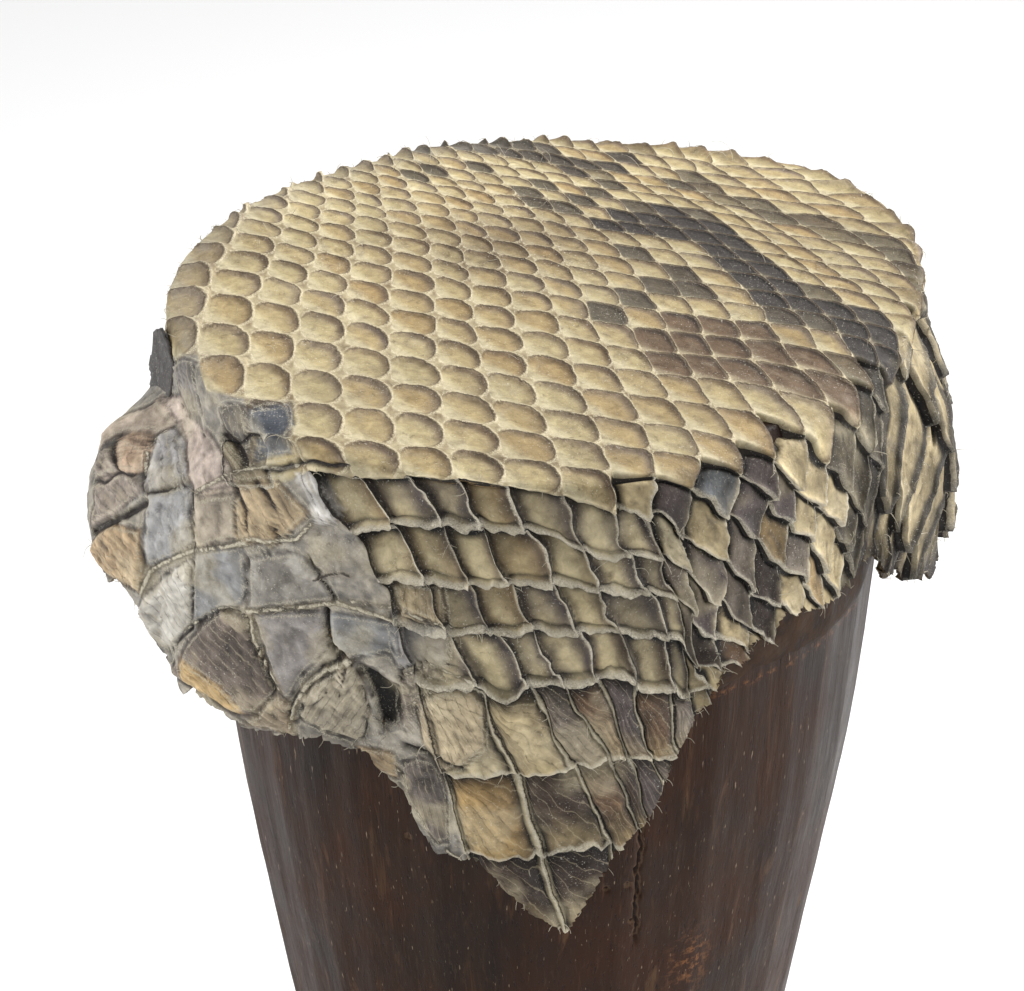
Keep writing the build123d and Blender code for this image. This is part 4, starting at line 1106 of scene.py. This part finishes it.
# ------------------------------------------------------------ skin shader
def skin_material():
    m = Nodes("snakeskin")
    tone = m.attribute("tone")

    def split(name):
        n = m.node("ShaderNodeSeparateXYZ")
        m.link(m.attribute(name, "Vector"), n.inputs[0])
        return n.outputs[0], n.outputs[1], n.outputs[2]

    def mul(*parts):
        out = parts[0]
        for p in parts[1:]:
            out = m.math("MULTIPLY", out, p)
        return out

    def add(*parts):
        out = parts[0]
        for p in parts[1:]:
            out = m.math("ADD", out, p)
        return out

    def sub(a, b):
        return m.math("SUBTRACT", a, b)

    def most(a, b):
        return m.math("MAXIMUM", a, b)

    s, t, chance = split("cell")
    wide, tall, dark = split("size")
    head, band, fan = split("sort")
    bunch, flap, power = split("sort_b")

    fine = m.noise(m.coords(), 900, 4, 0.65)
    mid_n = m.noise(m.coords(), 260, 5, 0.6, 0.6)
    small = m.noise(m.coords(), 1100, 2, 0.6)
    thread = m.noise(m.coords(), 2600, 3, 0.7)
    broad = m.noise(m.coords(), 60, 3)
    fibre = m.noise(m.coords((1500, 220, 900), (0.2, 0.1, 0.5)), 1.0, 4, 0.7, 1.2)
    fibre_b = m.noise(m.coords((260, 1500, 900), (0.1, 0.3, -0.4)), 1.0, 4, 0.7, 1.2)

    col = m.mix(m.ramp(mid_n, 0.3, 0.7, 0.0, 0.55), tone, srgb(132, 125, 113), "MULTIPLY")
    col = m.mix(m.ramp(fine, 0.35, 0.75, 0.0, 0.35), col, srgb(236, 226, 204), "SOFT_LIGHT")
    # dark flecks where dirt has worked into the surface
    fleck = m.ramp(m.noise(m.coords(), 520, 5, 0.75, 0.4), 0.56, 0.68)
    col = m.mix(mul(fleck, m.ramp(broad, 0.4, 0.65, 0.15, 0.6)), col, srgb(104, 86, 68), "MULTIPLY")
    fibres = most(m.ramp(fibre, 0.62, 0.74, 0.0, 0.5), m.ramp(fibre_b, 0.64, 0.76, 0.0, 0.45))
    col = m.mix(fibres, col, srgb(218, 208, 186))

    # distances in millimetres from the four sides of a scale, with a wandering edge
    wobble = m.math("MULTIPLY_ADD", small, 1.5)
    wobble.node.inputs[2].default_value = -0.75
    left, top = add(mul(s, wide), wobble), add(mul(t, tall), wobble)
    right = add(mul(sub(1.0, s), wide), wobble)
    low = add(mul(sub(1.0, t), tall), wobble)

    # head scales: a thin dark line of painted shadow round the upper right of each plate, painted shade inside it, a
    # pale thread outside it
    zoom = sub(2.0, mul(sub(power, 2.2), 0.1))
    x = mul(sub(s, 0.45), zoom)
    y = mul(sub(t, 0.53), zoom)
    safe = most(power, 2.0)
    px = m.math("POWER", m.math("ABSOLUTE", x), safe)
    py = m.math("POWER", m.math("ABSOLUTE", y), safe)
    rho = m.math("POWER", add(px, py), m.math("DIVIDE", 1.0, safe))
    rho = add(rho, mul(sub(small, 0.5), 0.16), mul(sub(mid_n, 0.5), 0.22))
    side = m.ramp(sub(x, y), -0.7, 0.4)
    line = mul(m.ramp(rho, 0.90, 0.955), m.ramp(rho, 0.965, 1.03, 1.0, 0.0), side, head)
    col = m.mix(mul(line, m.ramp(fine, 0.3, 0.6, 0.25, 0.8)), col, srgb(82, 66, 52))
    # painted shade inside the upper-right rim of the plate
    upper_right_shade = mul(m.ramp(rho, 0.55, 0.93), m.ramp(rho, 0.95, 1.0, 1.0, 0.0), m.ramp(sub(x, y), 0.2, 1.6), head)
    col = m.mix(mul(upper_right_shade, m.ramp(chance, 0.2, 0.9, 0.1, 0.6), sub(1.0, mul(dark, 0.8))), col, srgb(122, 106, 104), "MULTIPLY")
    pale = mul(m.ramp(rho, 1.0, 1.05), m.ramp(rho, 1.08, 1.2, 1.0, 0.0), head, m.ramp(thread, 0.4, 0.62))
    col = m.mix(mul(pale, sub(0.65, mul(dark, 0.3))), col, srgb(232, 221, 190))

    # growth lines on the big loose scales
    wave = mul(add(m.math("ARCTAN2", add(t, 0.08), add(s, 0.08)), mul(mid_n, 0.12)), 4.2)
    tooth = m.math("ABSOLUTE", sub(m.math("FRACT", wave), 0.5))
    growth = mul(m.ramp(tooth, 0.40, 0.48), fan, m.ramp(fine, 0.35, 0.6))
    col = m.mix(mul(growth, m.ramp(mid_n, 0.38, 0.6), 0.6), col, srgb(52, 42, 36))
    col = m.mix(mul(m.ramp(tooth, 0.06, 0.0), fan, 0.3), col, srgb(206, 192, 158))

    # the torn left side: pale ridges, dark cracks, painted shadow lines, outlines and growth lines of its big scales
    pale_gap, dark_gap, outline = split("marks")
    phase, grown, _ = split("growth")
    shake = mul(sub(small, 0.5), 1.3)
    lane = m.math("ABSOLUTE", sub(m.math("FRACT", add(phase, mul(mid_n, 0.9))), 0.5))
    col = m.mix(mul(m.ramp(lane, 0.42, 0.48), grown, m.ramp(fine, 0.35, 0.6), 0.6), col, srgb(56, 46, 40))
    col = m.mix(mul(m.ramp(lane, 0.14, 0.03), grown, m.ramp(mid_n, 0.4, 0.6), 0.3), col, srgb(206, 194, 164))
    col = m.mix(mul(m.ramp(add(outline, shake), 0.6, 0.1), 0.5), col, srgb(58, 48, 42))
    beside = mul(m.ramp(add(outline, shake), 0.7, 1.0), m.ramp(add(outline, shake), 1.2, 1.8, 1.0, 0.0))
    col = m.mix(mul(beside, m.ramp(thread, 0.4, 0.6), 0.55), col, srgb(202, 194, 172))
    # painted shade: a dark band round each pale ridge
    col = m.mix(mul(m.ramp(add(pale_gap, shake), 2.0, 1.0), 0.55), col, srgb(62, 54, 48), "MULTIPLY")
    col = m.mix(mul(m.ramp(add(pale_gap, shake), 0.85, 0.35), m.ramp(thread, 0.36, 0.55, 0.45, 1.0)), col, srgb(206, 198, 176))
    col = m.mix(mul(m.ramp(add(dark_gap, shake), 1.0, 0.4), 0.8), col, srgb(40, 33, 30))

    # folded skirt: black painted shadow in the gaps, then crumbly pale crests where the scales overlap
    loose = most(band, bunch)
    gap = mul(most(most(m.ramp(left, 1.3, 0.5), m.ramp(top, 1.7, 0.7)), mul(flap, m.ramp(right, 1.3, 0.5))), loose)
    gap = most(gap, mul(most(mul(m.ramp(left, 1.7, 1.3), m.ramp(left, 0.8, 1.1)), m.ramp(top, 0.9, 0.3)), fan))
    col = m.mix(mul(gap, 0.92), col, srgb(24, 19, 17))
    sides = most(m.ramp(right, 1.15, 0.5), mul(fan, m.ramp(left, 0.9, 0.4)))
    crest = most(mul(sides, m.ramp(add(thread, chance), 0.55, 1.1, 0.25, 1.0)), mul(m.ramp(low, 1.5, 0.7), m.ramp(small, 0.3, 0.55, 0.3, 1.0)))
    crest = mul(crest, most(loose, mul(fan, 0.8)), m.ramp(thread, 0.36, 0.56, 0.3, 1.0), sub(1.0, mul(flap, 0.8)))
    col = m.mix(mul(crest, sub(0.92, mul(dark, 0.5))), col, srgb(224, 216, 196))

    dust = m.ramp(m.noise(m.coords(), 1800, 2), 0.64, 0.72)
    col = m.mix(mul(dust, m.ramp(broad, 0.45, 0.65, 0.15, 0.6)), col, srgb(225, 220, 208))
    m.put(m.bsdf.inputs["Base Color"], col)
    m.put(m.bsdf.inputs["Roughness"], m.ramp(mid_n, 0.25, 0.75, 0.48, 0.76))
    m.put(m.bsdf.inputs["Specular IOR Level"], 0.3)
    h = add(mul(mid_n, 0.7), mul(fine, 0.5), mul(fibres, 0.6), mul(crest, 0.5))
    h = sub(h, add(mul(line, 0.6), mul(gap, 0.8), mul(growth, 0.4)))
    m.link(m.bump(h, 0.0007, 0.7), m.bsdf.inputs["Normal"])
    return m.mat


scales = skin_material()
for piece in (skin, skin_under):
    piece.data.materials.append(scales)
    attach(piece, "root")
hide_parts("head_skin")


# ------------------------------------------------------------ carved body
def facet_factor(phi):
    """How far the wood stands at this angle, between flat facets with slightly soft edges."""
    edges = [(a, k) for a, k in FACETS]
    edges = [(edges[-1][0] - 360, edges[-1][1])] + edges + [(edges[0][0] + 360, edges[0][1])]
    out = np.zeros_like(phi)
    for (a, ka), (b, kb) in zip(edges, edges[1:]):
        m = (phi >= a) & (phi < b)
        ra, rb = math.radians(a), math.radians(b)
        xa, ya, xb, yb = ka * math.sin(ra), ka * math.cos(ra), kb * math.sin(rb), kb * math.cos(rb)
        p = np.radians(phi[m])
        # where the ray at p crosses the facet's line
        dx, dy = xb - xa, yb - ya
        out[m] = (xa * dy - ya * dx) / (np.sin(p) * dy - np.cos(p) * dx)
    return out


phis = []
knots = [-180, -90, 90, 180]
steps = [70, 300, 70]
for a, b, n in zip(knots, knots[1:], steps):
    phis += list(a + (b - a) * np.arange(n) / n)
phis = np.array(phis)
depths = np.concatenate([
    np.linspace(3.4, 8, 7), np.linspace(12, 60, 16), np.linspace(63, 232, 130), np.linspace(236, 470, 52)])
PH, DD = np.meshgrid(phis, depths, indexing="ij")
soft = 0.55 * facet_factor(PH.ravel()) + 0.15 * sum(
    facet_factor((PH.ravel() + o + 180) % 360 - 180) for o in (-1.2, 0, 1.2))
radius = wood_under(DD.ravel()) * soft
a = np.radians(PH.ravel())
pos = np.stack([radius * np.sin(a), -radius * np.cos(a), HEIGHT - DD.ravel()], -1)
# long shallow adze strokes, then fine grain along the log
strokes = (fbm(pos * [1, 1, 0.16], 9.0, 51, 2) - 0.5) * 0.9
flutes = (fbm(pos * [1, 1, 0.05], 2.2, 61, 3) - 0.5) * 0.42
CRACK = np.array([(15.9, 88), (16.5, 103), (17.0, 114), (16.7, 131), (17.2, 150), (17.6, 158)])
crack_phi = np.interp(DD.ravel(), CRACK[:, 1], CRACK[:, 0]) + 0.25 * np.sin(DD.ravel() / 2.1) + 0.2 * np.sin(DD.ravel() / 0.9)
crack_arc = (PH.ravel() - crack_phi) * math.pi / 180 * radius
crack_on = smooth(DD.ravel(), CRACK[0, 1], CRACK[0, 1] + 4) * (1 - smooth(DD.ravel(), CRACK[-1, 1] - 6, CRACK[-1, 1]))
crack = np.exp(-(crack_arc / 0.5) ** 2) * crack_on
seam = np.abs(crack_arc) * 1.6 + 9 * (1 - crack_on)
scuffs = np.exp(-(((PH.ravel() - 29.6) * 1.6) ** 2 + (DD.ravel() - 168) ** 2 / 2.5) / 40.0)
scuffs += 0.8 * np.exp(-((DD.ravel() - 74.5) / 1.0) ** 2) * smooth(PH.ravel(), 22, 30) * (1 - smooth(PH.ravel(), 62, 72))
scuffs = np.clip(scuffs, 0, 1)
near_rim = smooth(DD.ravel(), 3, 12) * (1 - smooth(DD.ravel(), 460, 468))
bump = (strokes + flutes) * near_rim - 1.6 * crack
for hp, hd, hr in ((11.2, 133.5, 0.8), (15, 133, 0.7), (17.0, 137, 0.9), (16.4, 147, 1.0), (-24, 120, 0.7)):
    arc = (PH.ravel() - hp) * math.pi / 180 * radius
    bump = bump - 1.4 * np.exp(-((arc ** 2 + (DD.ravel() - hd) ** 2) / hr ** 2))
    seam = np.minimum(seam, np.hypot(arc, DD.ravel() - hd) * 1.2)
radius = radius + bump
pos = np.stack([radius * np.sin(a), -radius * np.cos(a), HEIGHT - DD.ravel()], -1)
np_, nd_ = PH.shape
grid = np.arange(np_ * nd_).reshape(np_, nd_)
nxt = np.roll(grid, -1, axis=0)
out_faces = np.stack([grid[:, :-1], grid[:, 1:], nxt[:, 1:], nxt[:, :-1]], -1).reshape(-1, 4)
# bore
bore_phi = np.linspace(-180, 180, 121)[:-1]
bore_d = np.array(sorted(set([3.4] + [b[0] for b in BORE if b[0] > 4] + list(np.linspace(12, 465, 60)))))
BP, BD = np.meshgrid(bore_phi, bore_d, indexing="ij")
rb = table(BORE, BD.ravel())
ab = np.radians(BP.ravel())
bore_pos = np.stack([rb * np.sin(ab), -rb * np.cos(ab), HEIGHT - BD.ravel()], -1)
tool = (fbm(bore_pos * [0.4, 0.4, 1.6], 5.0, 71, 2) - 0.5) * 0.9 * smooth(BD.ravel(), 3, 10) * (1 - smooth(BD.ravel(), 455, 466))
rb = rb + tool
bore_pos = np.stack([rb * np.sin(ab), -rb * np.cos(ab), HEIGHT - BD.ravel()], -1)
o = len(pos)
gb_ = np.arange(BP.size).reshape(BP.shape) + o
nb_ = np.roll(gb_, -1, axis=0)
in_faces = np.stack([gb_[:, :-1], nb_[:, :-1], nb_[:, 1:], gb_[:, 1:]], -1).reshape(-1, 4)


def bridge(outer_ids, outer_phi, inner_ids, inner_phi, up):
    """Triangles between two rings with different numbers of points."""
    tris = []
    n, m = len(outer_ids), len(inner_ids)
    i = j = 0
    while i < n or j < m:
        po = outer_phi[i + 1] if i + 1 < n else 180.0
        pi_ = inner_phi[j + 1] if j + 1 < m else 180.0
        if j >= m or (i < n and po <= pi_):
            t = (outer_ids[i % n], outer_ids[(i + 1) % n], inner_ids[j % m])
            i += 1
        else:
            t = (outer_ids[i % n], inner_ids[(j + 1) % m], inner_ids[j % m])
            j += 1
        tris.append(t if up else t[::-1])
    return tris


tris = bridge(grid[:, 0], phis, gb_[:, 0], bore_phi, True) + bridge(grid[:, -1], phis, gb_[:, -1], bore_phi, False)
body = bpy.data.meshes.new("shell_wood")
all_pos = np.vstack([pos, bore_pos]) * MM
quads_w = np.vstack([out_faces, in_faces])
body.vertices.add(len(all_pos))
body.vertices.foreach_set("co", all_pos.astype(np.float32).ravel())
loops = np.concatenate([quads_w.ravel(), np.array(tris).ravel()]).astype(np.int32)
starts = np.concatenate([np.arange(len(quads_w)) * 4, len(quads_w) * 4 + np.arange(len(tris)) * 3]).astype(np.int32)
body.loops.add(len(loops))
body.loops.foreach_set("vertex_index", loops)
body.polygons.add(len(starts))
body.polygons.foreach_set("loop_start", starts)
body.polygons.foreach_set("use_smooth", np.ones(len(starts), bool))
body.update(calc_edges=True)
body.validate()
shell = bpy.data.objects.new("shell_wood", body)
bpy.context.scene.collection.objects.link(shell)


def wood_material():
    m = Nodes("wood")
    flat_c = m.coords()
    along = m.coords((1, 1, 0.06))
    grainy = m.noise(along, 900, 5, 0.65, 0.4)
    bands = m.noise(along, 120, 4, 0.55, 0.8)
    broad = m.noise(flat_c, 22, 4, 0.6)
    col = m.mix(m.ramp(bands, 0.3, 0.7), srgb(22, 11, 6), srgb(44, 27, 15))
    col = m.mix(m.ramp(broad, 0.42, 0.68, 0.0, 0.75), col, srgb(56, 30, 15))
    streak = m.ramp(m.noise(m.coords((1, 1, 0.035)), 260, 4, 0.6, 0.5), 0.58, 0.72)
    col = m.mix(m.math("MULTIPLY", streak, m.ramp(broad, 0.35, 0.6, 0.15, 0.7)), col, srgb(92, 66, 42))
    col = m.mix(m.ramp(grainy, 0.55, 0.8, 0.0, 0.55), col, srgb(78, 60, 46))
    pores = m.ramp(m.noise(m.coords((1, 1, 0.045)), 2300, 2, 0.5), 0.3, 0.38, 1.0, 0.0)
    col = m.mix(m.math("MULTIPLY", pores, 0.75), col, srgb(20, 14, 12))
    fleck = m.ramp(m.noise(m.coords((1, 1, 0.12)), 1500, 2, 0.5), 0.7, 0.76)
    col = m.mix(m.math("MULTIPLY", fleck, 0.55), col, srgb(172, 152, 126))
    # drying cracks, worm holes and a scuffed line where the old glue stopped
    seam = m.attribute("seam", "Fac")
    ragged = m.noise(m.coords(), 700, 4, 0.7)
    reach = m.math("ADD", seam, m.math("MULTIPLY", ragged, 0.9))
    col = m.mix(m.math("MULTIPLY", m.ramp(reach, 1.3, 0.7), 0.9), col, srgb(10, 6, 4))
    col = m.mix(m.math("MULTIPLY", m.math("MULTIPLY", m.ramp(reach, 1.2, 1.5), m.ramp(reach, 2.2, 1.6)), 0.4), col, srgb(112, 88, 66))
    scuff = m.math("MULTIPLY", m.attribute("scuff", "Fac"), m.ramp(m.noise(m.coords(), 420, 5, 0.75), 0.5, 0.62))
    col = m.mix(m.math("MULTIPLY", scuff, 0.8), col, srgb(132, 86, 48))
    m.put(m.bsdf.inputs["Base Color"], col)
    m.put(m.bsdf.inputs["Roughness"], m.ramp(broad, 0.3, 0.7, 0.42, 0.6))
    m.put(m.bsdf.inputs["Specular IOR Level"], 0.13)
    h = m.math("ADD", m.math("MULTIPLY", grainy, 0.6), m.math("MULTIPLY", m.ramp(pores, 0, 1, 1, 0), 0.6))
    h = m.math("ADD", h, m.math("MULTIPLY", bands, 0.4))
    m.link(m.bump(h, 0.0006, 0.5), m.bsdf.inputs["Normal"])
    return m.mat


for name, values in (("seam", np.minimum(seam, 9.0)), ("scuff", scuffs)):
    extra = body.attributes.new(name, "FLOAT", "POINT")
    whole = np.full(len(all_pos), 9.0 if name == "seam" else 0.0, np.float32)
    whole[:len(values)] = values
    extra.data.foreach_set("value", whole)
shell.data.materials.append(wood_material())
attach(shell, "root")
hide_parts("shell")

# ------------------------------------------------------------ glue band
gp = np.linspace(-180, 180, 361)[:-1]
gd = np.linspace(14, 74, 25)
GP, GD = np.meshgrid(gp, gd, indexing="ij")
wood_r = wood_under(GD.ravel()) * facet_factor(GP.ravel())
ga_ = np.radians(GP.ravel())
low = 71 + 3.0 * fbm(np.stack([np.sin(ga_) * 90, np.cos(ga_) * 90, 0 * ga_], -1), 14, 81, 3)
dd = np.minimum(GD.ravel(), low)
where = np.stack([np.sin(ga_) * 94, -np.cos(ga_) * 94, HEIGHT - dd], -1)
thick = 0.15 + 0.5 * fbm(where, 7, 83, 3)
taper = smooth(low - dd, 0, 3.0) * smooth(GD.ravel(), 14, 18)
rg = wood_r + 0.12 + thick * taper
glue_out = np.stack([rg * np.sin(ga_), -rg * np.cos(ga_), HEIGHT - dd], -1)
ri = wood_r - 0.8
glue_in = np.stack([ri * np.sin(ga_), -ri * np.cos(ga_), HEIGHT - dd], -1)
gg = np.arange(GP.size).reshape(GP.shape)
gn = np.roll(gg, -1, axis=0)
gf = np.stack([gg[:, :-1], gg[:, 1:], gn[:, 1:], gn[:, :-1]], -1).reshape(-1, 4)
k_ = GP.size
gi = gf[:, ::-1] + k_
top = np.stack([gg[:, 0], gn[:, 0], gn[:, 0] + k_, gg[:, 0] + k_], -1)
bot = np.stack([gg[:, -1], gg[:, -1] + k_, gn[:, -1] + k_, gn[:, -1]], -1)
glue = mesh_object("glue_residue", np.vstack([glue_out, glue_in]) * MM, np.vstack([gf, gi, top, bot]))


def glue_material():
    m = Nodes("resin")
    n1 = m.noise(m.coords(), 300, 4)
    n2 = m.noise(m.coords(), 60, 3)
    col = m.mix(m.ramp(n1, 0.35, 0.7), srgb(34, 22, 15), srgb(60, 43, 30))
    col = m.mix(m.ramp(n2, 0.5, 0.7, 0, 0.5), col, srgb(76, 58, 43))
    m.put(m.bsdf.inputs["Base Color"], col)
    m.put(m.bsdf.inputs["Roughness"], m.ramp(n1, 0.3, 0.7, 0.6, 0.82))
    m.put(m.bsdf.inputs["Specular IOR Level"], 0.12)
    m.link(m.bump(n1, 0.0008, 0.6), m.bsdf.inputs["Normal"])
    return m.mat


glue.data.materials.append(glue_material())
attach(glue, "root")
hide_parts("glue_band")

# ------------------------------------------------------------ camera, floor and light
cam_data = bpy.data.cameras.new("camera")
cam_data.sensor_width = 36
cam_data.lens = 132.54
cam = bpy.data.objects.new("camera", cam_data)
cam.location = (-0.0082, -0.8953, 0.935)
cam.rotation_euler = (math.radians(59.5), 0, 0)
bpy.context.scene.collection.objects.link(cam)
bpy.context.scene.camera = cam

floor = mesh_object("floor", np.array([(-6, -6, -0.0005), (6, -6, -0.0005), (6, 6, -0.0005), (-6, 6, -0.0005)]),
                    np.array([(0, 1, 2, 3)]), False)
fm = Nodes("floor")
fm.put(fm.bsdf.inputs["Base Color"], (0.9, 0.9, 0.9))
fm.put(fm.bsdf.inputs["Roughness"], 0.9)
floor.data.materials.append(fm.mat)


def area(name, where, size, power, aim=(0, 0, 0.35)):
    data = bpy.data.lights.new(name, "AREA")
    data.shape = "RECTANGLE"
    data.size, data.size_y = size
    data.energy = power
    ob = bpy.data.objects.new(name, data)
    ob.location = where
    d = np.array(aim) - np.array(where)
    from mathutils import Vector
    ob.rotation_euler = Vector(d).to_track_quat("-Z", "Y").to_euler()
    bpy.context.scene.collection.objects.link(ob)
    return ob


area("key", (0.75, 0.55, 1.45), (0.5, 0.5), 21)
area("side_left", (-1.3, -0.2, 0.7), (0.5, 1.2), 10)
area("side_right", (1.3, -0.1, 0.6), (0.5, 1.2), 12)
world = bpy.data.worlds.new("world")
bpy.context.scene.world = world
world.use_nodes = True
world.node_tree.nodes["Background"].inputs[0].default_value = (1, 1, 1, 1)
world.node_tree.nodes["Background"].inputs[1].default_value = 0.62
bpy.context.scene.view_settings.view_transform = "Standard"
